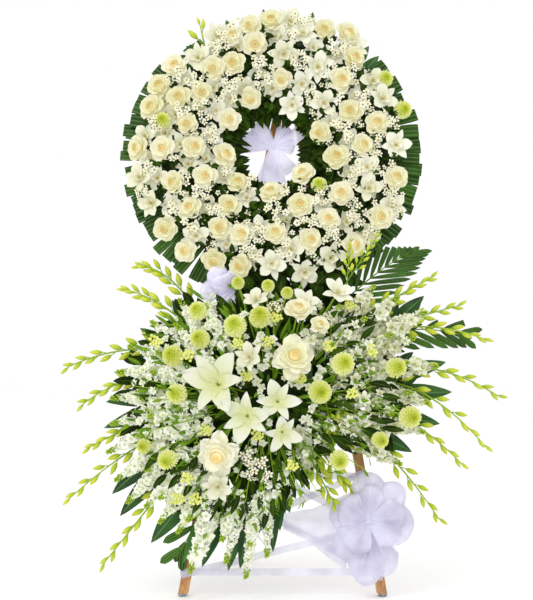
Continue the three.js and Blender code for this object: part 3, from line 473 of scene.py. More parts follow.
def grained_finish(name, roughness, kind, pattern, stops, relief=None, **constants):
    """A material whose colour runs over a pattern's values, which also stand off by the relief."""
    material, add, shader = finish(name, roughness, **constants)
    grain = add(kind, {"Vector": add("TexCoord").outputs["Object"], **pattern}).outputs[0]
    connect(shader, {"Base Color": add("ValToRGB", {"Fac": grain}, stops).outputs["Color"]})
    if relief:
        strength, distance = relief
        bump = add("Bump", {"Height": grain, "Strength": strength, "Distance": distance})
        connect(shader, {"Normal": bump.outputs["Normal"]})
    return material


# Sheer ribbon in the light, and a copy with painted light for the bows in the wreath's shade: it glows more
# and is more opaque
ORGANZA = organza_finish("lilac_organza", 0.1, 0.66)
GLOW_LIFTED_ORGANZA = organza_finish("lilac_organza_glow_lifted_in_shade", 0.26, 0.78)
WOOD = wood_finish()
# Zinc-plated steel: cool grey with faint cloudy wear
STEEL = grained_finish("zinc_plated_steel", 0.32, "TexNoise", {"Scale": 180.0, "Detail": 3.0},
                       [(0.35, "#77777A"), (0.65, "#B4B4B6")], Metallic=1.0)
# Moulded green polypropylene with a fine matte grain
TRAY = grained_finish("green_polypropylene", 0.55, "TexNoise", {"Scale": 700.0, "Detail": 2.0},
                      [(0.3, "#1E3B24"), (0.7, "#2A4E30")], (0.25, 0.0003))
# Wet floral foam: dull green, pitted with open cells drawn at 2 mm
FOAM = grained_finish("wet_floral_foam", 0.9, "TexVoronoi", {"Scale": 420.0},
                      [(0.1, "#2C4A2A"), (0.6, "#4C7446")], (0.5, 0.001))


def placed(name, data):
    """An object for some data, put in the scene."""
    thing = bpy.data.objects.new(name, data)
    bpy.context.scene.collection.objects.link(thing)
    return thing


def build(name, layers, nodes=()):
    """One finished piece from (patch, material) layers, standing for the given CAD nodes."""
    materials = list(dict.fromkeys(material for _, material in layers))
    whole = joined([patch for patch, _ in layers])
    mesh = bpy.data.meshes.new(name)
    mesh.from_pydata(world(whole.points), [], whole.quads)
    for material in materials:
        mesh.materials.append(material)
    indices = np.concatenate([np.full(len(patch.quads), materials.index(material))
                              for patch, material in layers])
    mesh.polygons.foreach_set("material_index", indices.astype(np.int32))
    mesh.polygons.foreach_set("use_smooth", np.ones(len(whole.quads), bool))
    corners = np.zeros(len(mesh.loops), np.int32)
    mesh.loops.foreach_get("vertex_index", corners)
    mesh.uv_layers.new(name="UVMap").data.foreach_set("uv", whole.uv[corners].ravel())
    for label, values in (("tone", whole.tone), ("shade", whole.shade)):
        mesh.attributes.new(label, "FLOAT", "POINT").data.foreach_set("value", values)
    mesh.update()
    piece = placed(name, mesh)
    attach(piece, "root")
    if nodes:
        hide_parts(*nodes)
    return piece


# Blooms, each about one unit in radius. A whorl's row holds its petals' count, length, width, tilt, curl,
# cup, belly, point, turn, out, lift, ruffle, scatter, and tones at foot and rim, then its rows and columns

def nested(whorls, seed):
    """Nested whorls, from the outermost in, each with the next seed."""
    return joined([whorl(*row, seed + k) for k, row in enumerate(whorls)])


# Rose: three whorls that roll outwards round a bud of four closing whorls; every petal pales to its rim
ROSE = nested([
    (5, 1.02, 1.14, 56, 40, 0.6, 0.62, 0.1, 0.0, 0.08, -0.42, 0.03, 0.08, (0.5, 1.0), 7, 7),
    (5, 0.94, 1.08, 44, 34, 0.7, 0.62, 0.1, 0.63, 0.08, -0.38, 0.03, 0.08, (0.46, 0.98), 7, 7),
    (5, 0.88, 1.04, 33, 20, 0.85, 0.62, 0.05, 0.2, 0.08, -0.36, 0.02, 0.08, (0.36, 0.92), 6, 7),
    (4, 0.58, 0.86, 20, -44, 0.95, 0.6, 0.0, 0.5, 0.3, -0.14, 0.01, 0.06, (0.3, 0.78), 6, 7),
    (4, 0.5, 0.62, 16, -44, 1.1, 0.6, 0.0, 1.0, 0.2, -0.06, 0.01, 0.06, (0.2, 0.56), 6, 5),
    (3, 0.42, 0.42, 12, -40, 1.3, 0.6, 0.0, 0.2, 0.11, 0.0, 0.0, 0.06, (0.08, 0.4), 6, 5),
    (2, 0.34, 0.26, 8, -30, 1.5, 0.6, 0.0, 0.9, 0.04, 0.06, 0.0, 0.06, (0.0, 0.28), 5, 5),
], 40)
# Orchid-like star: three pointed sepals, broad petals between, a small ruffled lip and a pale throat
STAR = nested([
    (3, 1.08, 0.56, 72, 12, 0.35, 0.5, 0.75, 0.3, 0.06, -0.16, 0.02, 0.08, (0.5, 1.0), 6, 5),
    (3, 1.02, 0.84, 64, 10, 0.35, 0.6, 0.3, 1.35, 0.06, -0.12, 0.04, 0.08, (0.42, 1.0), 6, 5),
    (4, 0.56, 0.48, 40, 22, 0.7, 0.6, 0.3, 0.9, 0.04, -0.12, 0.05, 0.1, (0.25, 0.8), 5, 5),
    (3, 0.34, 0.24, 16, 10, 1.1, 0.6, 0.2, 0.2, 0.02, -0.06, 0.03, 0.1, (0.02, 0.4), 4, 3),
], 50)
# Lily: six long pointed petals from a deep throat, curling back at their tips
LILY_PETALS = nested([
    (3, 1.3, 0.52, 42, 58, 0.7, 0.45, 0.65, 0.0, 0.05, -0.5, 0.015, 0.1, (0.1, 1.0), 12, 7),
    (3, 1.26, 0.72, 44, 46, 0.6, 0.5, 0.45, 1.047, 0.06, -0.46, 0.03, 0.1, (0.1, 1.0), 12, 7),
], 60)
# Large double: two ruffled outer whorls, an upright one, and a globe of petals that close over the heart
DOUBLE = nested([
    (7, 1.06, 0.9, 64, 30, 0.4, 0.66, 0.2, 0.0, 0.08, -0.34, 0.1, 0.16, (0.6, 1.0), 7, 7),
    (6, 0.96, 0.9, 52, 28, 0.5, 0.68, 0.1, 0.45, 0.08, -0.32, 0.1, 0.16, (0.55, 1.0), 7, 7),
    (6, 0.84, 0.8, 40, 22, 0.65, 0.7, 0.0, 0.2, 0.08, -0.3, 0.08, 0.16, (0.5, 0.92), 7, 7),
    (5, 0.6, 0.7, 22, -30, 0.85, 0.66, 0.0, 0.6, 0.24, -0.16, 0.02, 0.08, (0.3, 0.72), 6, 7),
    (4, 0.52, 0.54, 16, -46, 1.0, 0.64, 0.0, 0.1, 0.16, -0.06, 0.01, 0.08, (0.1, 0.42), 6, 5),
    (3, 0.42, 0.4, 12, -46, 1.2, 0.64, 0.0, 0.7, 0.07, 0.02, 0.01, 0.08, (0.0, 0.3), 6, 5),
], 70)
# Stock floret: small and double, three rounds of ruffled petals, the inner ones more upright
FLORET = nested([
    (5, 1.08, 0.82, 66, 24, 0.4, 0.6, 0.3, 0.0, 0.06, -0.2, 0.16, 0.16, (0.45, 1.0), 4, 3),
    (5, 0.84, 0.74, 40, 22, 0.5, 0.62, 0.2, 0.6, 0.04, -0.16, 0.16, 0.16, (0.35, 1.0), 4, 3),
    (3, 0.6, 0.54, 14, 16, 0.8, 0.66, 0.0, 0.2, 0.02, -0.1, 0.1, 0.16, (0.1, 0.85), 3, 3),
], 11)
# Wax flower: five round petals round a tan cup
WAX = nested([
    (5, 0.84, 0.62, 76, -8, 0.35, 0.64, 0.1, 0.0, 0.2, 0.0, 0.03, 0.06, (0.42, 1.0), 4, 3),
    (5, 0.3, 0.36, 56, -60, 0.5, 0.6, 0.0, 0.4, 0.02, -0.02, 0.0, 0.05, (0.0, 0.14), 3, 3),
], 21)


def lily_heart():
    """Six thin stamens that lean out from the throat, with plump anthers, and a thicker pistil."""
    angle = 2 * math.pi * np.arange(7) / 6
    pistil = np.arange(7) == 6
    lean = np.where(pistil, 0.04, 0.2)
    foot = np.stack([0.05 * np.cos(angle), 0.05 * np.sin(angle), np.full(7, -0.45)], -1)
    tip = np.stack([lean * np.cos(angle), lean * np.sin(angle), np.where(pistil, 0.24, 0.06)], -1)
    thin = np.array([0.012, 0.012, 0.012, 0.012, 0.014, 0.026, 0.028, 0.004])
    return tubes(arcs(foot, tip, 0.04 * UP, 8), thin, sides=5, tones=(0.2, 0.8))


def wax_head(flowers=6):
    """Dome of tiny flowers on thin stalks from one point, set by the golden angle."""
    place = (np.arange(flowers) + 0.5) / flowers
    turn = np.arange(flowers) * GOLDEN
    out = np.sqrt(place)
    tips = np.stack([out * np.cos(turn), out * np.sin(turn), 0.7 * np.sqrt(1.05 - place)], -1)
    feet = 0 * tips - 0.6 * UP
    return joined([planted(WAX, tips, tips + 0.6 * UP, 0.5, 23),
                   tubes(arcs(feet, tips, 0.0, 3), 0.03, sides=3, tones=(0.22, 0.3))])


def pompon_bloom(petals=170):
    """Ball of small boat-shaped petals set by the golden angle, from the dimpled heart to the rim, over a
    lime core. Petals pale towards their tips and towards the rim."""
    place = (np.arange(petals) + 0.5) / petals
    polar = np.arccos(1 - 1.76 * place)
    young = np.clip(place / 0.1, 0, 1)
    base = 0.5 + 0.12 * young
    tones = np.clip(0.04 + 1.8 * place, 0, 0.5), np.clip(0.24 + 4.4 * place, 0, 1.0)
    ball = whorl(petals, 0.16 + 0.24 * young, 0.15 + 0.12 * young, np.degrees(polar) + 8 * young, -26.0,
                 1.0, 0.66, 0.0, 0.0, base * np.sin(polar), base * np.cos(polar), 0.0, 0.06, tones, 4, 3,
                 31, spiral=True)
    turn = np.linspace(0, math.pi, 9)[None, :, None]
    radius = 0.58 - 0.16 * np.exp(-(turn / 0.5) ** 2)
    core = tubes(np.cos(turn) * radius * UP, (np.sin(turn) * radius)[..., 0], sides=12, tones=(0.1, 0.4))
    return joined([ball, core])


LILY = joined([LILY_PETALS, lily_heart()])
# Each kind of head: its bloom and its petal
KINDS = {
    "double": (DOUBLE, PEACH_DOUBLE), "rose": (ROSE, CREAM_ROSE), "star": (STAR, WHITE_STAR),
    "lily": (LILY, WHITE_LILY), "wax": (wax_head(), WAX_FLOWER), "pompon": (pompon_bloom(), LIME_POMPON),
}
BUD_SHAPE = np.array([0.3, 0.7, 0.96, 1.0, 0.86, 0.54, 0.08])


def buds(feet, ways, lengths, radii, seed=0):
    """Plump pointed buds from feet along ways."""
    reach = np.outer(np.zeros(len(feet)) + lengths, np.linspace(0, 1, len(BUD_SHAPE)))
    paths = feet[:, None] + unit(ways)[:, None] * reach[..., None]
    return tubes(paths, np.outer(np.zeros(len(feet)) + radii, BUD_SHAPE), tones=(0.1, 1.0), seed=seed)


# The wreath

# The ring's middle, the depth at which the places of its heads are read in the view, the radius that gives
# the crown's slope, and the share of that slope that the heads take up
WREATH_MIDDLE, HEAD_DEPTH, CROWN_ROUND, LOOK = seen(272, 150, 70), 110.0, 148.0, 0.42


def ring_point(angle, radius, w):
    """A point of the wreath by its angle and radius round the ring's middle."""
    return spot(WREATH_MIDDLE[0] + radius * np.cos(angle), WREATH_MIDDLE[2] + radius * np.sin(angle), w)


def ring_place(points):
    """Angles and radii of points round the ring's middle."""
    x, up = points[..., 0] - WREATH_MIDDLE[0], points[..., 2] - WREATH_MIDDLE[2]
    return np.arctan2(up, x), np.hypot(x, up)


def crown_seats(points, rise):
    """Seats that stand `rise` off the ring's crown: outer ones look outwards and inner ones into the hole,
    by LOOK times the crown's own slope, and those above the hole a little down to the viewer."""
    angle, radius = ring_place(points)
    slope = np.arcsin(np.clip((radius - RING_MIDDLE) / CROWN_ROUND, -0.95, 0.95))
    lean = LOOK * slope
    radial = np.stack([np.cos(angle), 0 * angle, np.sin(angle)], -1)
    axes = radial * np.sin(lean)[..., None] + FRONT * np.cos(lean)[..., None]
    axes = unit(axes + 0.35 * DOWN * np.maximum(np.sin(angle), 0)[..., None])
    crown = FOAM_FRONT + MAT + (CROWN_RISE - 4) * np.cos(slope)
    foot = ring_point(angle, radius - rise * np.sin(lean), crown)
    return foot + axes * np.expand_dims(rise, -1), axes


def ring_draws(count, seed, inside, outside):
    """Even draws over the ring, from so far inside to so far outside its middle circle."""
    angle = drawn(count, seed, 0, 2 * math.pi)
    radius = np.sqrt(drawn(count, seed + 1, (RING_MIDDLE - inside) ** 2, (RING_MIDDLE + outside) ** 2))
    return ring_point(angle, radius, HEAD_DEPTH)


def disc_draws(count, seed):
    """Even draws over a disc: their angles, and their distances as shares of its radius."""
    return drawn(count, seed, 0, 2 * math.pi), np.sqrt(drawn(count, seed + 1, 0, 1))


def clear_of(seats, points, room):
    """The points that lie further than room times its radius from every head."""
    gap = np.linalg.norm(points[:, None, [0, 2]] - seats[None, :, [0, 2]], axis=-1)
    return points[(gap > room * seats[None, :, 3]).all(1)]


def gap_spots(seats):
    """Spots on the ring that lie clear of every seat and of each other, sparser at the right and below."""
    chosen = []
    places = ring_draws(1400, 90, 84, 122)
    for place in places[places[:, 0] < WREATH_MIDDLE[0] + RIGHT_REACH]:
        taken = np.concatenate([seats[:, [0, 2]], np.array(chosen).reshape(-1, 3)[:, [0, 2]]])
        room = np.concatenate([1.06 * seats[:, 3], np.full(len(chosen), GAP_ROOM)])
        sparse = place[0] > WREATH_MIDDLE[0] + 60 or place[2] < WREATH_MIDDLE[2] - 90
        if (np.linalg.norm(taken - place[[0, 2]], axis=1) > room * (1.22 if sparse else 1.0)).all():
            chosen.append(place)
    return np.array(chosen)


WREATH_ROSES = [
    (271, 18), (250, 25), (324, 27), (232, 34), (348, 31), (255, 44), (354, 57), (175, 65), (233, 63),
    (213, 69), (160, 85), (282, 79), (341, 80), (202, 93), (179, 98), (250, 98), (152, 107), (350, 112),
    (229, 119), (377, 124), (187, 125), (320, 133), (138, 148), (163, 150), (194, 148), (363, 147),
    (225, 156), (336, 158), (303, 174), (205, 178), (396, 178), (173, 184), (238, 183), (271, 193),
    (341, 195), (229, 207), (190, 209), (300, 206), (380, 217), (328, 221), (165, 228), (220, 229),
    (241, 236), (275, 234), (310, 241), (354, 245), (185, 250), (214, 261), (240, 266),
]
WREATH_STARS = [
    (198, 57), (284, 54), (303, 32), (318, 67), (292, 104), (324, 103), (383, 98), (302, 84), (396, 145),
    (369, 189), (331, 258), (272, 264), (305, 272), (139, 176), (150, 202), (373, 80), (392, 205),
    (196, 236), (291, 250), (367, 168), (290, 19), (354, 44), (218, 35),
]
WREATH_POMPONS = [(163, 121), (385, 77), (403, 108), (319, 186)]
# The wreath's heads: kind, places, radius, rise of the centre as a share of it, and colour slot
WREATH_HEADS = {
    "wreath_roses": ("rose", WREATH_ROSES, 34.0, 0.55, "cream_petal"),
    "wreath_star_blooms": ("star", WREATH_STARS, 40.0, 0.3, "white_petal"),
    "wreath_buttons": ("pompon", WREATH_POMPONS, 24.0, 0.6, "lime_petal"),
    "wreath_gap_blooms": ("star", None, 34.0, 0.0, "white_petal"),
}
# How far to the right gap blooms grow, the room that each keeps from the next, and the sectors in which
# the CAD cuts the wreath
RIGHT_REACH, GAP_ROOM, SECTORS = 322.0, 50.0, range(1, 7)


def wreath_heads():
    """Roses, star blooms and pompons at their places, and smaller star blooms wherever the next head stands
    too far off; returns all their seats for what grows between."""
    seats = np.zeros((0, 4))
    for seed, (name, (kind, places, radius, rise, slot)) in enumerate(WREATH_HEADS.items()):
        head, material = KINDS[kind]
        spots = seen(*columns(places), HEAD_DEPTH) if places else gap_spots(seats)
        sizes = radius * (1 + 0.08 * drawn(len(spots), seed))
        centres, axes = crown_seats(spots, sizes * rise)
        axes = unit(axes + 0.2 * jitter(len(spots), seed + 60, seed + 70, seed + 80))
        nodes = [f"wreath_blooms_{k}" for k in SECTORS] if kind == "rose" else ()
        build(name, [(planted(head, centres, axes, sizes, seed + 3), material)], nodes)
        seats = np.concatenate([seats, np.column_stack([centres, sizes])])
    return seats


WAX_CLUSTERS = [
    (222, 41), (237, 23), (195, 80), (230, 82), (229, 97), (201, 109), (153, 126), (258, 63), (212, 136),
    (263, 80), (346, 136), (337, 122), (392, 124), (354, 172), (378, 164), (320, 199), (394, 196),
    (354, 220), (369, 234), (284, 250), (281, 216), (273, 206), (396, 212), (311, 226), (284, 190),
    (252, 183), (226, 32), (212, 46), (296, 15), (307, 20), (344, 42), (150, 170), (142, 190), (171, 212),
    (200, 195), (215, 215), (188, 228), (252, 252), (300, 60), (335, 45), (290, 30), (310, 95), (362, 100),
    (352, 70), (183, 110), (175, 75), (232, 172), (330, 235), (262, 230),
]
# Flowers of a cluster, its radius in the view, and a flower's own radius
CLUSTER, CLUSTER_RADIUS, WAX_RADIUS = 8, 8.5, 9.2


def wreath_wax_flowers(seats):
    """Clusters of wax flowers at their places, and single ones in the gaps, on thin stalks."""
    px, py = np.repeat(columns(WAX_CLUSTERS), CLUSTER, axis=1)
    turn, share = disc_draws(len(px), 1)
    reach = CLUSTER_RADIUS * share
    clusters = seen(px + reach * np.cos(turn), py + reach * np.sin(turn), HEAD_DEPTH)
    singles = clear_of(seats, ring_draws(900, 5, 96, 104), 0.95)
    spots = np.concatenate([clusters, singles])
    count = len(spots)
    height = np.concatenate([drawn(len(clusters), 6, 20, 34), drawn(len(singles), 6, 8, 22)])
    centres, axes = crown_seats(spots, height)
    axes = unit(axes + 0.5 * jitter(count, 7, 8, 9))
    feet, _ = crown_seats(spots, 2.0)
    stalks = tubes(arcs(feet, centres, 0.0, 3), 0.6, sides=3, tones=(0.2, 0.9), seed=10)
    flowers = planted(WAX, centres, axes, WAX_RADIUS * (1 + 0.2 * drawn(count, 11)), 12)
    build("wreath_wax_flowers", [(flowers, WAX_FLOWER), (stalks, STEM)], ())


def ring_surface(rows=17, across=180, rim_fall=16.0):
    """The leafy crown below the heads: a rounded ring section, roughened by crossed sine waves, whose rims
    turn back by rim_fall over the foam's edges."""
    section = np.linspace(-1, 1, rows)[:, None]
    angle = np.linspace(0, 2 * math.pi, across, endpoint=False)[None, :]
    rough = 3.5 * np.sin(23 * angle + 9 * section) * np.cos(31 * angle - 11 * section)
    radius = RING_MIDDLE + (CROWN_HALF - 12 + 0.5 * rough) * section
    w = FOAM_FRONT + MAT + 1 + (CROWN_RISE - 8 + rough) * (1 - section ** 2) ** 0.6
    points = ring_point(angle, radius, w - rim_fall * np.abs(section) ** 8)
    patch = surface(points, angle * 12, section, closed=True)
    patch.quads = patch.quads[:, ::-1]
    return patch


# Places in the view of the leaf tips that reach furthest into the hole, and of those over the wreath's top
HOLE_LEAVES = [
    (266, 129), (271, 128), (276, 130), (281, 130), (286, 129), (261, 127), (256, 128), (298, 150),
    (299, 156), (303, 148), (299, 162), (304, 160), (300, 167), (298, 172), (306, 154), (297, 145),
    (246, 148), (246, 154), (246, 160), (246, 166), (247, 172), (251, 178), (256, 178), (262, 179),
    (244, 142), (246, 134), (250, 130), (268, 181), (248, 151), (249, 158), (248, 166), (249, 173),
    (298, 126), (302, 131), (300, 136), (304, 141), (295, 149), (295, 154), (296, 159), (297, 164),
    (300, 151), (268, 124), (273, 125), (278, 124), (283, 124), (250, 148), (250, 152), (250, 155),
    (249, 162), (249, 169),
]
TOP_LEAVES = [(263, 9), (313, 12), (226, 20), (230, 26), (186, 46), (166, 60), (369, 46), (379, 56)]


def small_leaves(seats):
    """Small leaves that lie over the wreath's crown between its heads."""
    feet, axes = crown_seats(clear_of(seats, ring_draws(1700, 15, 112, 110), 0.75), 2.0)
    count = len(feet)
    way = unit(jitter(count, 16, 17, 18) + 0.35 * axes)
    paths = arcs(feet, feet + way * drawn(count, 19, 20, 32)[:, None], axes * 5, 5)
    return blades(paths, leaf_halves(15, 5), axes, fold=0.25, wave=0.1, across=3, seed=20)


def fringe(count=300):
    """Leafy sprigs that hang into the wreath's hole, all round and at the places of HOLE_LEAVES."""
    angle = drawn(count, 25, 0, 2 * math.pi)
    full = 0.86 + 0.14 * np.sin(angle - 1.2)
    root = ring_point(angle, drawn(count, 26, 122, 160), drawn(count, 27, 44, 84))
    tip = ring_point(angle + 0.26 * drawn(count, 28), 120 - 38 * full * drawn(count, 29, 0.3, 1.0),
                     drawn(count, 30, 42, 88))
    loose = 2.4 * drawn(2 * len(HOLE_LEAVES), 43).reshape(-1, 2).T
    near = seen(*(columns(HOLE_LEAVES) + loose), 46)
    root = np.concatenate([root, ring_point(ring_place(near)[0], 134, 60)])
    tip = np.concatenate([tip, near])
    face = unit(FRONT + 0.6 * jitter(len(root), 31, 32, 33))
    paths = arcs(root, tip, FRONT * 5, 6)
    return blades(paths, leaf_halves(22, 6), face, fold=0.22, wave=0.12, across=5, seed=34)


def top_leaves():
    """Single pointed leaves behind the blooms of the wreath's top."""
    tips = seen(*columns(TOP_LEAVES), 66)
    roots = ring_point(ring_place(tips)[0] + 0.06 * drawn(len(tips), 44), 318, 66)
    paths = arcs(roots, tips, FRONT * 4, 8)
    return blades(paths, leaf_halves(32, 8), FRONT, fold=0.2, wave=0.05, across=5, seed=45)


# Radii at which the rim's palm strips start and, where nothing shortens them, end; half width of a strip
RIM_ROOT, RIM_REACH, RIM_HALF = 290, 421, 18.0


def rim(count=84):
    """Palm fans round the rim: pleated strips cut square, most of them edge to edge, with notches between
    some and bare stretches at the top and below."""
    rank = np.arange(count)
    degrees = (rank + 0.5) / count * 360
    high = np.exp(-((degrees - 88) / 44) ** 2)
    below = np.exp(-((degrees - 270) / 34) ** 2)
    keep = (high < 0.35) | (rank % 7 < 2)
    keep &= (below < 0.45) | (rank % 3 != 1) | (degrees < 250)
    degrees, high, below, rank = (values[keep] for values in (degrees, high, below, rank))
    count = len(degrees)
    angle = np.radians(degrees)
    side = np.abs(np.cos(np.radians(degrees + 12)))
    fan = np.exp(-((degrees - 236) / 12) ** 2)
    reach = RIM_REACH - 30 * high - 24 * below + 16 * fan - 4 * (rank % 3) + 6 * drawn(count, 35) - 3 * side
    w = 30 + 7.0 * (rank % 3)
    slant = 0.03 * drawn(count, 37) + 0.1 * high * drawn(count, 41)
    paths = arcs(ring_point(angle, RIM_ROOT, w), ring_point(angle + slant, reach, w - 4), FRONT * 6, 7)
    t = np.linspace(0, 1, 7)
    half = RIM_HALF * (1 + 0.16 * drawn(count, 42))
    return pleated(paths, half[:, None] * (0.66 + 0.34 * t) * np.where(t > 0.99, 0.9, 1.0), 4, 1.5)


def pleated(paths, halves, pleats, depth):
    """Palm strips: blades whose section is a zigzag of `pleats` folds, `depth` millimetres deep."""
    across = 2 * pleats + 1
    strips = blades(paths, halves, FRONT, fold=0.0, wave=0.0, across=across, seed=38)
    zigzag = np.where(np.arange(across) % 2 == 0, depth, -depth)
    strips.points += np.tile(zigzag, len(strips.points) // across)[:, None] * FRONT
    return strips


def wreath_greens(seats):
    """The leaf mat that faces the wreath: its leafy crown, small leaves over it, a leafy fringe in the hole,
    palm strips cut square all round the rim, and single leaves at the top."""
    layers = [(ring_surface(), SMALL_SHADED_LEAF), (small_leaves(seats), SMALL_SHADED_LEAF), (fringe(), SMALL_SHADED_LEAF),
              (rim(), PALM), (top_leaves(), BROAD_LEAF)]
    build("wreath_leaf_mat", layers, [f"wreath_leaves_{k}" for k in SECTORS])


# Orchid buds

# Sprigs: their foot and tip, the number of buds, and how plump these are
SPRIGS = [((206, 52, 118), (200, 25, 116), 3, 1.0), ((340, 292, 128), (379, 234, 122), 13, 0.62),
          ((346, 292, 132), (350, 246, 130), 9, 0.62), ((334, 396, 158), (349, 431, 128), 10, 0.8),
          ((325, 398, 158), (333, 440, 130), 9, 0.76)]
# Bunches of arching stems: their direction at the block, and each one's tip and rise
BUD_STEMS = {
    "left_high": (152, [(141, 266, 40, 125), (127, 290, 52, 70), (68, 367, 60, 100)]),
    "left_low": (204, [(83, 404, 50, 150), (70, 498, 62, 72), (90, 447, 56, 50), (104, 563, 50, 0)]),
    "right_high": (34, [(431, 278, 50, 30), (458, 306, 56, 30), (484, 339, 62, 130)]),
    "right_low": (346, [(498, 396, 56, 165), (485, 446, 62, 210), (461, 463, 50, 120), (439, 519, 60, 100)]),
    "down": (300, [(335, 506, 64, 20), (353, 493, 54, 24)]),
}


def budded(path, count, long, seed, plump):
    """One orchid stem: buds on short stalks, left and right in turn, from its tip over a share `long` of the
    stem, plumper towards its foot."""
    grown = np.linspace(0, 1, count)
    foot, heading = at(path, np.clip(1 - long * grown ** 1.1, 0, 0.995))
    side = unit(np.cross(heading, FRONT)) * np.where(np.arange(count) % 2, 1, -1)[:, None]
    way = unit(heading + side * (0.35 + 0.35 * grown + 0.2 * drawn(count, seed))[:, None]
               + 0.3 * FRONT * drawn(count, seed + 9)[:, None])
    stalk = plump * (3 + 19 * grown * (1 + 0.4 * drawn(count, seed + 4)))[:, None]
    stalks = tubes(arcs(foot, foot + way * stalk, side * 1.5, 4), 1.2, sides=4, tones=(0.4, 0.9), seed=seed)
    skins = buds(foot + way * stalk * 0.9, unit(way - 0.15 * side), plump * (23 + 15 * grown),
                 plump * (4.2 + 3.8 * grown), seed)
    stem = tubes(path[None], plump * np.linspace(3.0, 1.5, len(path)), tones=(0.2, 1.0), seed=seed)
    return [(stem, STEM), (stalks, STEM), (skins, ORCHID_BUD)]


def bud_sprigs():
    """Short sprigs of small orchid buds: at the wreath's upper left, over its lower right, and in the
    spray."""
    layers = []
    for k, (root, tip, count, plump) in enumerate(SPRIGS):
        path = arcs(seen(*root), seen(*tip), FRONT * 4, 12)[0]
        layers += budded(path, count, long=0.7, seed=700 + k, plump=plump)
    build("orchid_sprigs", layers, ())


def bud_stems():
    """Arching orchid stems, a bunch for each side of the spray."""
    for number, (name, (degrees, tips)) in enumerate(BUD_STEMS.items()):
        px, py, w, lift = columns(tips)
        paths, _ = bunch_stems(degrees, BUD_DEPTH, seen(px, py, w), UP * lift[:, None], 30)
        layers = []
        for k, path in enumerate(paths):
            layers += budded(path, count=13, long=0.66, seed=300 + 10 * number + k, plump=1.18)
        build(f"orchid_buds_{name}", layers, [f"buds_{name}"])


# The lower spray

# Depths at which white stocks, bud stems and leaves stand in the foam, and the rows of a stock's stem
STOCK_DEPTH, BUD_DEPTH, LEAF_DEPTH, STEM_ROWS = 84, 58, 39, 24


def block_edge(degrees, w):
    """The point of the foam block's side that lies in a direction from its middle, and that way."""
    way = np.array([math.cos(math.radians(degrees)), 0, math.sin(math.radians(degrees))])
    reach = min(BLOCK_HALF_WIDE / max(abs(way[0]), 1e-6), BLOCK_HALF_HIGH / max(abs(way[2]), 1e-6))
    return spot(BLOCK_X, BLOCK_UP, w) + way * reach, way


def bunch_stems(degrees, w, ends, bow, rows):
    """Stems of a bunch, rooted side by side in the order in which their ends lie round the block: their
    paths, and how far each reaches."""
    edge, way = block_edge(degrees, w)
    across = np.cross(way, FRONT)
    order = np.argsort(np.argsort(ends @ across))
    roots = edge + way * 8 + across * (5 * (order - (len(ends) - 1) / 2))[:, None]
    return arcs(roots, ends, bow, rows), np.linalg.norm(ends - roots, axis=1)


# A spike's floret, and its radius over the spike's own
TIGHT, LOOSE = (FLORET, 1.2), (STAR, 1.55)
# White stocks: a bunch's direction at the block, its spikes' radius, florets and floret, and their tips
STOCKS = {
    "left_high": (160, 13.0, 34, TIGHT, [(206, 291, 98), (180, 300, 92), (152, 322, 92), (130, 346, 86),
                                         (118, 372, 92)]),
    "left_low": (192, 13.0, 36, TIGHT, [(112, 398, 84), (112, 424, 94), (108, 452, 84), (116, 480, 94),
                                        (128, 502, 84)]),
    "down_left": (232, 13.0, 22, LOOSE, [(146, 506, 92), (160, 522, 84), (178, 532, 94), (190, 572, 88)]),
    "down": (270, 9.5, 32, TIGHT, [(226, 562, 96), (246, 577, 88), (267, 556, 94), (291, 504, 88)]),
    "right_low": (318, 13.0, 20, LOOSE, [(312, 471, 92), (332, 450, 86), (374, 432, 92), (401, 464, 88),
                                         (424, 432, 92)]),
    "right_high": (22, 15.0, 22, LOOSE, [(428, 403, 84), (437, 366, 92), (414, 338, 86), (426, 312, 94),
                                         (398, 297, 98), (374, 286, 110), (350, 302, 118)]),
}
# Inner stocks: their feet and their tips
INNER_STOCKS = [
    (212, 392, 140, 158, 352, 120), (205, 412, 140, 140, 398, 116), (205, 430, 140, 138, 436, 114),
    (208, 450, 136, 146, 470, 112), (212, 468, 130, 160, 498, 108), (224, 482, 128, 188, 520, 108),
    (215, 372, 144, 176, 325, 126), (228, 352, 140, 205, 305, 128), (238, 500, 120, 222, 540, 104),
    (256, 502, 116, 250, 545, 100), (300, 428, 124, 311, 474, 108), (262, 492, 120, 268, 530, 102),
    (322, 352, 150, 366, 318, 132), (330, 366, 150, 392, 334, 126), (334, 384, 150, 408, 362, 120),
    (336, 404, 146, 412, 392, 114), (336, 424, 144, 392, 414, 118), (308, 344, 156, 340, 306, 136),
    (190, 420, 136, 150, 416, 124), (200, 376, 140, 152, 372, 122), (212, 486, 122, 196, 552, 98),
]
# The length of a spike, the radius of an inner one, and the view's column between left and right ones
STOCK_LONG, INNER_RADIUS, INNER_SPLIT = 165.0, 12.0, 305


def stock_spike(path, start, radius, count, floret, seed):
    """Florets round a stem by the golden angle, shrinking towards a tip of tight buds; `floret` is a bloom
    and its radius over the spike's."""
    flower, share = floret
    t = np.linspace(0, 0.88, count)
    middle, radial, heading = round_stem(path, start + (1 - start) * t, seed)
    swell = np.interp(t, [0, 0.12, 0.6, 0.88], [0.75, 1.05, 1.0, 0.4]) * (1 + 0.3 * drawn(count, seed + 7))
    sizes = share * radius * np.interp(t, [0, 0.6, 0.88], [1, 0.95, 0.55])
    sizes = sizes * (1 + 0.2 * drawn(count, seed + 8))
    florets = planted(flower, middle + radial * (radius * swell)[:, None], unit(radial + 0.35 * heading),
                      sizes, seed)
    t = np.linspace(0.86, 1.0, 14)
    middle, radial, heading = round_stem(path, start + (1 - start) * t)
    feet = middle + radial * np.linspace(5, 1, 14)[:, None]
    tight = buds(feet, unit(radial + 1.4 * heading), lengths=9, radii=3.0, seed=seed)
    tight.tone = 0.55 + 0.45 * tight.tone
    return florets, tight


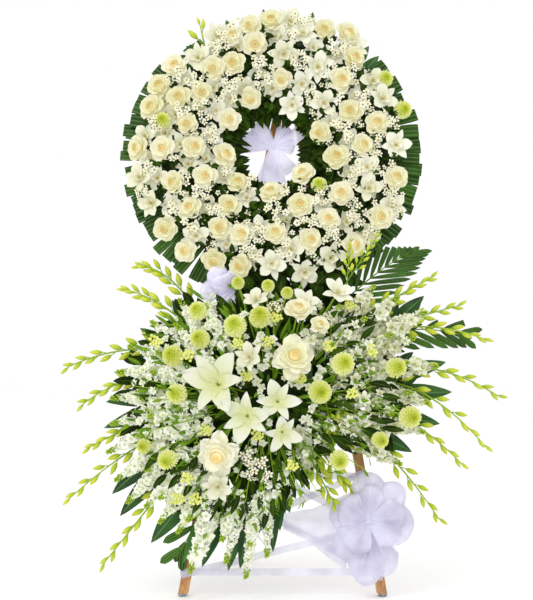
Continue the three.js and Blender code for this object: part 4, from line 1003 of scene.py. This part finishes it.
def leafy_stem(path, first, last, count, long, wide, seed):
    """Narrow leaves along a stem from place first to last, set by the golden angle."""
    foot, radial, heading = round_stem(path, np.linspace(first, last, count), seed)
    reach = (long * (1 + 0.25 * drawn(count, seed)))[:, None]
    tip = foot + unit(radial + 0.9 * heading + 0.2 * FRONT) * reach
    face = unit(heading - 0.6 * radial)
    paths = arcs(foot, tip, radial * 6, 6)
    return blades(paths, leaf_halves(wide, 6), face, fold=0.35, wave=0.1, across=3, seed=seed)


def stock_bunch(name, paths, starts, radius, count, floret, nodes, seed):
    """One bunch of stock spikes, `radius` to their florets' hearts, on their leafy stems."""
    stems = tubes(paths, np.linspace(2.6, 1.4, STEM_ROWS), tones=(0.1, 0.7), seed=seed)
    whites, greens, leaves = [], [stems], []
    for k, (path, start) in enumerate(zip(paths, starts)):
        florets, tight = stock_spike(path, start, radius, count, floret, seed + k)
        whites.append(florets)
        greens.append(tight)
        leaves.append(leafy_stem(path, 0.08, max(start, 0.3) + 0.1, count=8, long=44, wide=10,
                                 seed=2 * seed + k))
    # The right side's florets take the petals with painted shade
    petals = SHADED_STOCK if "right" in name else WHITE_STOCK
    layers = [(joined(whites), petals), (joined(greens), STEM), (joined(leaves), BRIGHT_LEAF)]
    build(f"white_stocks_{name}", layers, nodes)


def stocks():
    """White stock spikes: the outer bunches, and the shorter spikes that stand before them."""
    for number, (name, (degrees, radius, count, floret, tips)) in enumerate(STOCKS.items()):
        paths, reach = bunch_stems(degrees, STOCK_DEPTH, seen(*columns(tips)), FRONT * 12, STEM_ROWS)
        starts = np.maximum(0.2, 1 - STOCK_LONG / reach)
        stock_bunch(name, paths, starts, radius, count, floret, [f"stocks_{name}"], 100 * number)
    places = columns(INNER_STOCKS)
    at_right = places[3] > INNER_SPLIT
    for side, chosen, count, floret, seed in (("left", ~at_right, 30, TIGHT, 900),
                                              ("right", at_right, 20, LOOSE, 950)):
        feet, tips = (seen(*rows[:, chosen]) for rows in (places[:3], places[3:]))
        paths = arcs(feet, tips, FRONT * 8, STEM_ROWS)
        starts = np.full(len(paths), 0.04)
        stock_bunch(f"inner_{side}", paths, starts, INNER_RADIUS, count, floret, (), seed)


# Bunches of broad leaves: their direction at the block, and each one's tip, width and length
LEAVES = {
    "left": (186, [
        (172, 300, 26, 46, 190), (140, 328, 34, 44, 190), (114, 372, 24, 46, 200), (106, 402, 32, 44, 200),
        (104, 428, 24, 44, 200), (112, 450, 34, 42, 180), (112, 494, 24, 46, 200), (120, 516, 34, 44, 190)]),
    "down": (262, [
        (151, 543, 34, 50, 190), (202, 567, 30, 36, 190), (228, 571, 22, 40, 220), (246, 553, 32, 38, 200),
        (257, 538, 22, 40, 190), (190, 552, 40, 36, 170), (240, 569, 34, 36, 200), (183, 563, 44, 32, 150),
        (273, 552, 34, 38, 210), (280, 531, 24, 40, 190)]),
    "right": (340, [
        (302, 488, 26, 46, 150), (357, 455, 30, 44, 150), (396, 452, 22, 38, 150), (412, 452, 32, 44, 170),
        (421, 303, 30, 46, 150), (424, 296, 36, 34, 130), (440, 424, 24, 44, 190), (452, 392, 32, 46, 190),
        (446, 362, 24, 42, 180)]),
}


# Length and width of the smaller leaves beside each
PAIR_LONG, PAIR_WIDE = 96, 34


def broad_leaves():
    """Broad pointed leaves behind the flowers, each with a pair of smaller leaves lower on its stem."""
    for number, (name, (degrees, tips)) in enumerate(LEAVES.items()):
        px, py, w, width, long = columns(tips)
        paths, reach = bunch_stems(degrees, LEAF_DEPTH, seen(px, py, w), UP * 14, 40)
        stems = tubes(paths[:, :30], np.linspace(2.2, 1.2, 30), sides=5, tones=(0.0, 0.5), seed=number)
        layers = [(stems, STEM)]
        for k, path in enumerate(paths):
            seed = 400 + 10 * number + k
            start = max(0.02, 1 - long[k] / reach[k])
            spine, _ = at(path, np.linspace(start, 1, 14))
            face = unit(FRONT + 0.3 * UP * drawn(1, k))
            broad = blades(spine[None], leaf_halves(width[k] + 6, 14), face, fold=0.22, wave=0.06, across=7,
                           seed=seed)
            foot, heading = at(path, np.array([start * 0.75 + 0.1, start * 0.6 + 0.25]))
            side = np.cross(heading, FRONT) * np.array([1, -1])[:, None]
            ends = foot + unit(heading + 0.55 * side + 0.12 * FRONT) * PAIR_LONG
            pair = blades(arcs(foot, ends, side * 8, 10), leaf_halves(PAIR_WIDE, 10), unit(FRONT + 0.2 * UP),
                          fold=0.22, wave=0.06, across=5, seed=seed + 100)
            layers += [(broad, BROAD_LEAF), (pair, BROAD_LEAF)]
        build(f"broad_leaves_{name}", layers, [f"leaves_{name}"])


# Palm fronds: angle at the foam, tip, rise of the rib's bow, reach of the leaflets, their pairs, half width,
# first place on the rib, slants at the root and the tip, the view's row at which upper leaflets are cut, and
# how many times as long the lower leaflets are at the root
FRONDS = {
    "right_high": (50, (416, 249, 30), 80, 116, 12, 7.2, 0.32, (0.9, 0.35), 247, 1.4),
    "right": (22, (468, 337, 22), 125, 108, 7, 9.2, 0.36, (0.74, 0.4), 322, 1.3),
    "left_low": (238, (177, 558, 30), 0, 96, 3, 12.0, 0.66, (0.85, 0.42), 0, 0.9),
}


def palm_fronds():
    """Palm fronds: straight pleated leaflets in two rows on a rib, slanting to the tip and ending in a blunt
    diamond."""
    v = np.linspace(0, 1, 9)
    for name, (degrees, tip, bow, reach, pairs, half, first, slants, top, lower) in FRONDS.items():
        edge, way = block_edge(degrees, LEAF_DEPTH)
        path = arcs(edge - way * 28, seen(*tip), FRONT * 26 + UP * bow, 40)[0]
        t = np.repeat(np.linspace(first, 0.93, pairs), 2)
        foot, heading = at(path, t)
        side = np.cross(heading, FRONT) * np.tile([1.0, -1.0], pairs)[:, None]
        out = unit(heading + np.interp(t, [first, 1], slants)[:, None] * side)
        long = reach * np.interp(t, [first, (first + 1) / 2, 1.0], [0.85, 1.0, 0.6])
        long = long * np.where(out[:, 2] < heading[:, 2], np.interp(t, [first, 1], [lower, 0.85]), 1.0)
        room = (seen(tip[0], top, LEAF_DEPTH)[2] - foot[:, 2]) / np.maximum(out[:, 2], 0.05)
        ends = foot + out * np.clip(long, 14, np.maximum(room, 14))[:, None]
        halves = half * np.interp(v, [0, 0.3, 0.7, 0.86, 1], [0.3, 0.85, 1.0, 0.9, 0.08])
        square = np.where((room < long)[:, None] & (v > 0.6), half, halves)
        last = arcs(path[-5], path[-1] + heading[-1] * 12, 0.0, 9)
        layers = [(tubes(path[None], np.linspace(3.2, 1.2, 40), tones=(0.1, 0.5)), STEM),
                  (pleated(arcs(foot, ends, FRONT * 4, 9), square, 2, 0.9), PALM),
                  (pleated(last, halves, 2, 0.9), PALM)]
        build(f"palm_frond_{name}", layers, [f"frond_{name}"])


# Bunches of heads: their root at the foam's front face, their colour slot, and each head's kind, place in
# the view, depth and radius
BLOOMS = {
    "blooms_high": (25, 580, "cream_petal", [
        ("double", 294, 357, 205, 54), ("rose", 298, 309, 172, 38), ("rose", 320, 325, 176, 27),
        ("star", 305, 302, 146, 40), ("star", 338, 292, 152, 42), ("star", 249, 357, 200, 38),
        ("star", 256, 299, 158, 36)]),
    "blooms_left": (-75, 535, "white_petal", [
        ("lily", 214, 382, 215, 80), ("double", 218, 455, 190, 55), ("star", 218, 487, 176, 40)]),
    "blooms_middle": (-5, 520, "white_petal", [
        ("lily", 245, 417, 232, 62), ("lily", 278, 401, 222, 52), ("lily", 283, 434, 196, 46),
        ("wax", 247, 456, 158, 22), ("wax", 260, 462, 154, 22), ("wax", 252, 472, 148, 21),
        ("wax", 267, 476, 146, 20), ("wax", 274, 309, 160, 20)]),
    "pompons_left": (-95, 530, "lime_petal", [
        ("pompon", 173, 356, 148, 29), ("pompon", 177, 394, 158, 28), ("pompon", 168, 460, 146, 28),
        ("pompon", 144, 446, 132, 20)]),
    "pompons_top": (-30, 600, "lime_petal", [
        ("pompon", 198, 311, 136, 26), ("pompon", 200, 339, 158, 27), ("pompon", 235, 326, 168, 31),
        ("pompon", 260, 317, 170, 30), ("pompon", 238, 283, 146, 18), ("pompon", 268, 286, 152, 18),
        ("pompon", 287, 293, 150, 17)]),
    "pompons_right": (75, 560, "lime_petal", [
        ("pompon", 343, 364, 186, 31), ("pompon", 320, 392, 196, 31), ("pompon", 396, 368, 156, 28),
        ("pompon", 410, 417, 150, 30), ("pompon", 380, 440, 148, 23), ("pompon", 339, 460, 158, 27)]),
}


def spray_blooms():
    """Lilies, roses, doubles, star blooms and pompons on stems from the foam's front face."""
    for number, (name, (x, up, slot, heads)) in enumerate(BLOOMS.items()):
        root = spot(x, up, BLOCK_FRONT + 6)
        layers = []
        for k, (kind, px, py, w, radius) in enumerate(heads):
            head, material = KINDS[kind]
            centre, seed = seen(px, py, w), 600 + 10 * number + k
            away = centre - root
            axis = unit(unit(away) * 0.45 + FRONT * 0.55)
            foot = root + unit(away * np.array([1, 0, 1])) * 5
            path = arcs(foot, centre - axis * radius * 0.34, FRONT * -6, 10)
            stem = tubes(path, 2.4, tones=(0.2, 0.7), seed=k)
            layers += [(stem, STEM), (planted(head, centre, axis, radius, seed), material)]
        build(f"{name}_dressed", layers, [name])


# The spray in the view: its middle and half axes; and its leafy dome's, with its depth at the rim and rise
SPRAY_X, SPRAY_Y, SPRAY_HALF_WIDE, SPRAY_HALF_HIGH = 262, 402, 132, 116
DOME_X, DOME_Y, DOME_HALF_WIDE, DOME_HALF_HIGH, DOME_FRONT, DOME_RISE = 262, 400, 150, 125, 92, 78


def below_dome(px, py, depth):
    """The points that lie so deep below the spray's leafy dome, which is half an ellipse over its middle."""
    off = ((px - DOME_X) / DOME_HALF_WIDE) ** 2 + ((py - DOME_Y) / DOME_HALF_HIGH) ** 2
    return seen(px, py, DOME_FRONT + DOME_RISE * np.sqrt(np.clip(1 - off, 0, 1)) - depth)


def spray_place(turn, reach):
    """The place in the view at a turn, clockwise from the right, and a share of the spray's half axes."""
    return SPRAY_X + SPRAY_HALF_WIDE * reach * np.cos(turn), SPRAY_Y + SPRAY_HALF_HIGH * reach * np.sin(turn)


def spray_draws(count, seed, shallow, deep, outer=False):
    """Even draws over the spray, from shallow to deep below its dome and cut off below at the right, where
    the ribbons show; outer ones lie only at the right and below."""
    px, py = spray_place(*disc_draws(count, seed))
    keep = py < np.where(px > 250, np.maximum(545 - 1.55 * (px - 250), 440), 600)
    if outer:
        keep &= (px > 322) | (py > 452)
    px, py = px[keep], py[keep]
    return below_dome(px, py, drawn(len(px), seed + 2, shallow, deep))


def leafy_dome(rows=20, across=72):
    """The dark leafy mass deep in the spray: half an ellipsoid, roughened by crossed sine waves, in the leaf
    with painted shade; it stands for the leaves deep in the spray and the shade among them.
    """
    v = np.linspace(0, 1, rows)[:, None]
    turn = np.linspace(0, 2 * math.pi, across, endpoint=False)[None, :]
    rough = 1 + 0.05 * np.sin(17 * turn + 11 * v) * np.cos(13 * turn - 9 * v)
    reach = v ** 0.7 * rough
    px, py = 248 + 90 * reach * np.cos(turn), 392 + 88 * reach * np.sin(turn)
    points = seen(px, py, 46 + 62 * np.sqrt(np.clip(1 - (v * rough) ** 2, 0, 1)))
    return surface(points, turn * 6, 8 * v, closed=True)


GREEN_TOPS = [
    (268, 342), (247, 377), (349, 305), (207, 431), (301, 379), (329, 347), (178, 499), (187, 478),
    (276, 318), (258, 436), (224, 405), (238, 344), (156, 342), (188, 356), (372, 352), (292, 466),
    (196, 500), (352, 394),
]


def green_tops(count=15):
    """Clusters of tight yellow-green stock buds between the heads, each a dome set by the golden angle."""
    px, py = np.repeat(columns(GREEN_TOPS), count, axis=1)
    rank = np.tile(np.arange(count), len(GREEN_TOPS))
    out = np.sqrt((rank + 0.5) / count)
    turn = rank * GOLDEN
    way = np.stack([out * np.cos(turn), out * 0 - 1.1, out * np.sin(turn)], -1)
    spread = np.array([11.0, 5.0, 11.0]) * (1 + 0.4 * drawn(len(px), 35))[:, None]
    feet = below_dome(px, py, -2) + way * spread
    tops = buds(feet, way, 12 * (1 + 0.25 * drawn(len(px), 33)), radii=4.6, seed=34)
    tops.tone = 0.16 + 0.6 * tops.tone
    build("stock_green_tops", [(tops, LIME_POMPON)], ())


def loose_leaves(feet, away, loose, pull, long, bow, width, seed, fold=0.22, across=5):
    """Leaves whose ways lead `away`, scatter by `loose` and lean to `pull`; `long` is their range of
    lengths."""
    count = len(feet)
    way = unit(away + loose * jitter(count, seed, seed + 1, seed + 2) + pull)
    paths = arcs(feet, feet + way * drawn(count, seed + 3, *long)[:, None], FRONT * bow, 7)
    return blades(paths, leaf_halves(width, 7), FRONT, fold=fold, wave=0.1, across=across, seed=seed + 4)


def front_stems(count=34):
    """Bright thin stems that fan out over the dome's front, and their leaves."""
    turn = np.radians(np.linspace(165, 388, count)) + 0.05 * drawn(count, 93)
    near, far = (below_dome(*spray_place(-turn, drawn(count, *ends)), 4)
                 for ends in ((94, 0.3, 0.55), (95, 0.8, 1.0)))
    paths = arcs(near, far, FRONT * 10, 12)
    stems = tubes(paths, np.linspace(1.9, 1.0, 12), sides=5, tones=(0.2, 1.0), seed=96)
    leaves = [leafy_stem(path, 0.1, 0.95, count=5, long=30, wide=8, seed=97 + k)
              for k, path in enumerate(paths)]
    return stems, joined(leaves)


def spray_fill():
    """What fills the spray between its heads: dark leaves deep in it and below the wreath, bright narrow
    leaves that fan out from the foam between the spikes, dark leaves over them at the right and below,
    bright stems, and loose florets."""
    heart = spot(BLOCK_X, BLOCK_UP, BLOCK_FRONT)
    feet = spray_draws(560, 55, 44, 84)
    dark = loose_leaves(feet, unit(feet - heart), 0.6, 0.1 * FRONT, long=(40, 66), bow=6, width=24, seed=58)
    feet = seen(drawn(150, 75, 232, 346), drawn(150, 76, 254, 312), drawn(150, 77, 30, 96))
    high = loose_leaves(feet, 0, np.array([1, 0.4, 1]), 0.5 * DOWN, long=(34, 60), bow=6, width=26, seed=78)
    feet = spray_draws(330, 45, 26, 50)
    bright = loose_leaves(feet, unit(feet - heart), 0.4, 0.25 * FRONT, long=(34, 62), bow=7, width=9,
                          seed=48, fold=0.35, across=3)
    feet = spray_draws(320, 85, 2, 22, outer=True)
    over = loose_leaves(feet, unit(feet - heart), 0.35, 0.1 * DOWN, long=(40, 66), bow=6, width=17, seed=88)
    stems, beside = front_stems()
    build("spray_filler_leaves", [(leafy_dome(), SMALL_SHADED_LEAF), (dark, SMALL_SHADED_LEAF), (high, SMALL_SHADED_LEAF),
                                  (bright, BRIGHT_LEAF), (over, SMALL_SHADED_LEAF), (stems, STEM),
                                  (beside, BRIGHT_LEAF)])

    px, py, w, radius = columns([head[1:] for _, _, _, heads in BLOOMS.values() for head in heads])
    seats = np.column_stack([seen(px, py, w), radius])
    spots = clear_of(seats, spray_draws(420, 65, 4, 22), 0.85)
    count = len(spots)
    axes = unit(unit(spots - heart) + 0.8 * FRONT + 0.4 * jitter(count, 68, 69, 70))
    white = planted(FLORET, spots, axes, 12 * (1 + 0.25 * drawn(count, 71)), 72)
    build("spray_filler_florets", [(white, WHITE_STOCK)], ())


# Ribbons and bows

# Runs: their layer, and where they start and end
RIBBON_RUNS = {
    "level_top": (0, (213, 476), (366, 476)), "level_low": (0, (180, 572), (384, 572)),
    "rise_low": (1, (181, 575), (377, 526)), "rise_high": (1, (191, 548), (366, 472)),
    "fall_high": (2, (212, 442), (378, 531)), "fall_low": (2, (203, 478), (383, 578)),
}
# Loops: where each ends in the view, its depth there, its width and its puff; tails: the same, no puff
LARGE_LOOPS = [(369, 472, 60, 98, 24), (402, 485, 62, 90, 24), (414, 527, 60, 112, 24),
               (388, 576, 34, 96, 24), (366, 586, 50, 100, 24), (341, 560, 58, 96, 24),
               (330, 512, 56, 96, 24)]
FRONT_LOOPS = [(340, 505, 84, 96, 18), (405, 514, 86, 92, 18), (398, 541, 80, 84, 18),
               (348, 549, 84, 100, 18), (372, 484, 78, 70, 18)]
HOLE_LOOPS = [(238, 140, 14, 70, 9), (254, 124, 18, 66, 8), (295, 143, 14, 60, 9), (289, 127, 18, 56, 8)]
HOLE_TAILS = [(264, 190, 8, 64), (278, 188, 9, 52), (270, 189, 12, 60), (292, 172, 9, 44),
              (307, 131, 30, 60)]
SIDE_LOOPS = [(200, 291, 112, 64, 16), (209, 270, 114, 68, 16), (220, 304, 110, 56, 12),
              (226, 273, 118, 50, 10), (212, 282, 124, 52, 12)]


def ribbon(name, patch, material, nodes):
    """One ribbon: its patch built as one piece in its material, standing for the given CAD nodes."""
    piece = build(name, [(patch, material)], nodes)


def ribbon_runs():
    """Flat straight organza strips over the front of the legs, a layer on a layer."""
    for number, (name, (layer, start, end)) in enumerate(RIBBON_RUNS.items()):
        w = RIBBON_GAP + layer * RIBBON_LAYER
        path = arcs(seen(*start, w), seen(*end, w), 0.0, 30)
        strip = blades(path, RIBBON_WIDE / 2, FRONT, fold=0.0, wave=0.0, across=5, seed=number)
        ribbon(f"organza_run_{name}", strip, ORGANZA, [f"ribbon_{name}"])


def bow_loops(knot, loops, seed):
    """Ribbon loops from a knot. Along a loop s runs from 0 to 1: it goes out by sin(pi s) towards its end
    and stands off by puff sin(2 pi s); across, its fold draws back at the edges, and soft waves ruffle
    it."""
    s = np.linspace(0.02, 0.98, 34)[:, None]
    t = np.linspace(-1, 1, 17)[None, :]
    gone = np.sin(math.pi * s)
    patches = []
    for k, (px, py, w, wide, puff) in enumerate(loops):
        reach = seen(px, py, w) - knot
        out = unit(reach)
        lift = unit(FRONT - np.dot(FRONT, out) * out)
        wave = drawn(3, seed + k, 0, 6)
        far = np.linalg.norm(reach) * gone ** 0.9 * (1 - 0.3 * np.abs(t) ** 2.4 * gone)
        off = puff * np.sin(2 * math.pi * s) * (1 - 0.25 * t ** 2)
        off = off + 4.5 * gone * np.sin(4.2 * t + wave[0] + 2 * s) + 2.5 * gone * np.sin(9 * t + wave[1])
        off = off + 9 * gone * (1 - gone) * np.sin(13 * t + wave[2])
        across = wide / 2 * t * (0.16 + 0.84 * gone ** 0.7)
        points = knot + far[..., None] * out + off[..., None] * lift
        patches.append(surface(points + across[..., None] * np.cross(out, lift), (t + 1) / 2, 3 * s))
    return joined(patches)


def bow_tails(knot, tails, seed):
    """Ribbon tails that widen and wave as they fall from a knot."""
    px, py, w, wide = columns(tails)
    halves = np.outer(wide / 2, np.linspace(0.35, 1.0, 18))
    paths = arcs(knot, seen(px, py, w), FRONT * 4, 18)
    return blades(paths, halves, FRONT, fold=0.0, wave=0.16, across=9, seed=seed)


def knot_ball(centre, radius):
    """The gathered knot: a pinched band with lengthwise creases."""
    angle = np.linspace(0, 2 * math.pi, 25)[None, :]
    v = np.linspace(-1, 1, 9)[:, None]
    swell = radius * (0.72 + 0.28 * v ** 2 + 0.06 * np.sin(9 * angle))
    points = spot(centre[0] + swell * np.cos(angle), centre[2] + radius * v,
                  0.8 * swell * np.sin(angle) - centre[1])
    return surface(points, angle / 6.3, v)


def bows():
    """The three bows, each gathered from one ribbon."""
    knot = seen(368, 520, 26)
    patch = joined([bow_loops(knot, LARGE_LOOPS, 80), bow_loops(knot + FRONT * 20, FRONT_LOOPS, 90),
                    knot_ball(knot + FRONT * 24, 11)])
    ribbon("organza_bow_large", patch, ORGANZA, ["bow_large"])
    # The bows in the hole and at the side lie in the wreath's shade and take the organza with painted light
    knot = seen(274, 147, 12)
    patch = joined([bow_loops(knot, HOLE_LOOPS, 100), bow_tails(knot, HOLE_TAILS, 103), knot_ball(knot, 8)])
    ribbon("organza_bow_in_hole", patch, GLOW_LIFTED_ORGANZA, ["bow_in_hole"])
    knot = seen(236, 290, 62)
    patch = joined([bow_loops(knot, SIDE_LOOPS, 110), knot_ball(knot, 9)])
    ribbon("organza_bow_side", patch, GLOW_LIFTED_ORGANZA, ["bow_side"])


def gauze():
    """The gathered organza that fans from the large bow's left side back to the ribbon crossing."""
    s = np.linspace(0, 1, 26)[:, None]
    t = np.linspace(-1, 1, 17)[None, :]
    start, end = seen(284, 521, 5.5), seen(350, 531, 16)
    half = np.interp(s, [0, 0.4, 1.0], [22, 44, 108])
    crease = 2.2 * np.sin(7 * t + 2 * s) * (0.3 + s)
    points = start + (end - start) * s[..., None] + (half * t)[..., None] * unit([0.12, 0, 1])
    patch = surface(points + crease[..., None] * FRONT, (t + 1) / 2, 2 * s)
    ribbon("organza_gauze", patch, ORGANZA, ())


# The easel and its fittings keep their CAD shape

def fittings():
    """Gives the CAD nodes that stay in view their finishes."""
    finishes = {
        "leg_": WOOD, "head_gusset": WOOD, "rail_": WOOD, "wreath_peg": STEEL, "wreath_ledge": STEEL,
        "glide_": STEEL, "wreath_tray": TRAY, "spray_tray": TRAY, "wreath_foam": FOAM, "spray_foam": FOAM,
    }
    for name, piece in frame["nodes"].items():
        for start, material in finishes.items():
            if name.startswith(start):
                for slot in piece.material_slots:
                    slot.material = material


def studio():
    """Pale floor, even white sky, three soft lamps (two in front and one behind), and the camera of the
    front view."""
    mesh = bpy.data.meshes.new("floor")
    mesh.from_pydata([(-8, -6, 0), (8, -6, 0), (8, 10, 0), (-8, 10, 0)], [], [(0, 1, 2, 3)])
    material, _, _ = finish("pale_floor", 0.7, Base_Color=linear("#FFFFFF"))
    mesh.materials.append(material)
    floor = placed("floor", mesh)

    middle = Vector((0, 0, 0.9))
    for name, place, size, power in (("key", (-1.8, -2.8, 3.4), 1.4, 36.0),
                                     ("fill", (2.8, -2.8, 2.0), 3.0, 6.0),
                                     ("rim", (0.6, 2.8, 3.2), 2.5, 20.0)):
        light = bpy.data.lights.new(name, "AREA")
        light.size, light.energy = size, power
        lamp = placed(name, light)
        lamp.location = place
        lamp.rotation_euler = (middle - Vector(place)).to_track_quat("-Z", "Y").to_euler()

    scene = bpy.context.scene
    scene.world = bpy.data.worlds.new("studio")
    scene.world.use_nodes = True
    connect(scene.world.node_tree.nodes["Background"], {"Color": (1, 1, 1, 1), "Strength": 1.0})

    camera = bpy.data.cameras.new("front")
    camera.sensor_width = 36.0
    camera.lens = camera.sensor_width * EYE_BACK / (VIEW_HIGH * MM_PER_PIXEL)
    eye = placed("front", camera)
    eye.location = ((EYE_X + ORIGIN_X) / 1000, (ORIGIN_Y - EYE_BACK) / 1000, EYE_UP / 1000)
    eye.rotation_euler = (math.pi / 2, 0, 0)
    scene.camera = eye
    scene.view_settings.view_transform = "Standard"


head_seats = wreath_heads()
wreath_wax_flowers(head_seats)
wreath_greens(head_seats)
bud_sprigs()
stocks()
bud_stems()
broad_leaves()
palm_fronds()
spray_blooms()
green_tops()
spray_fill()
ribbon_runs()
bows()
gauze()
fittings()
studio()
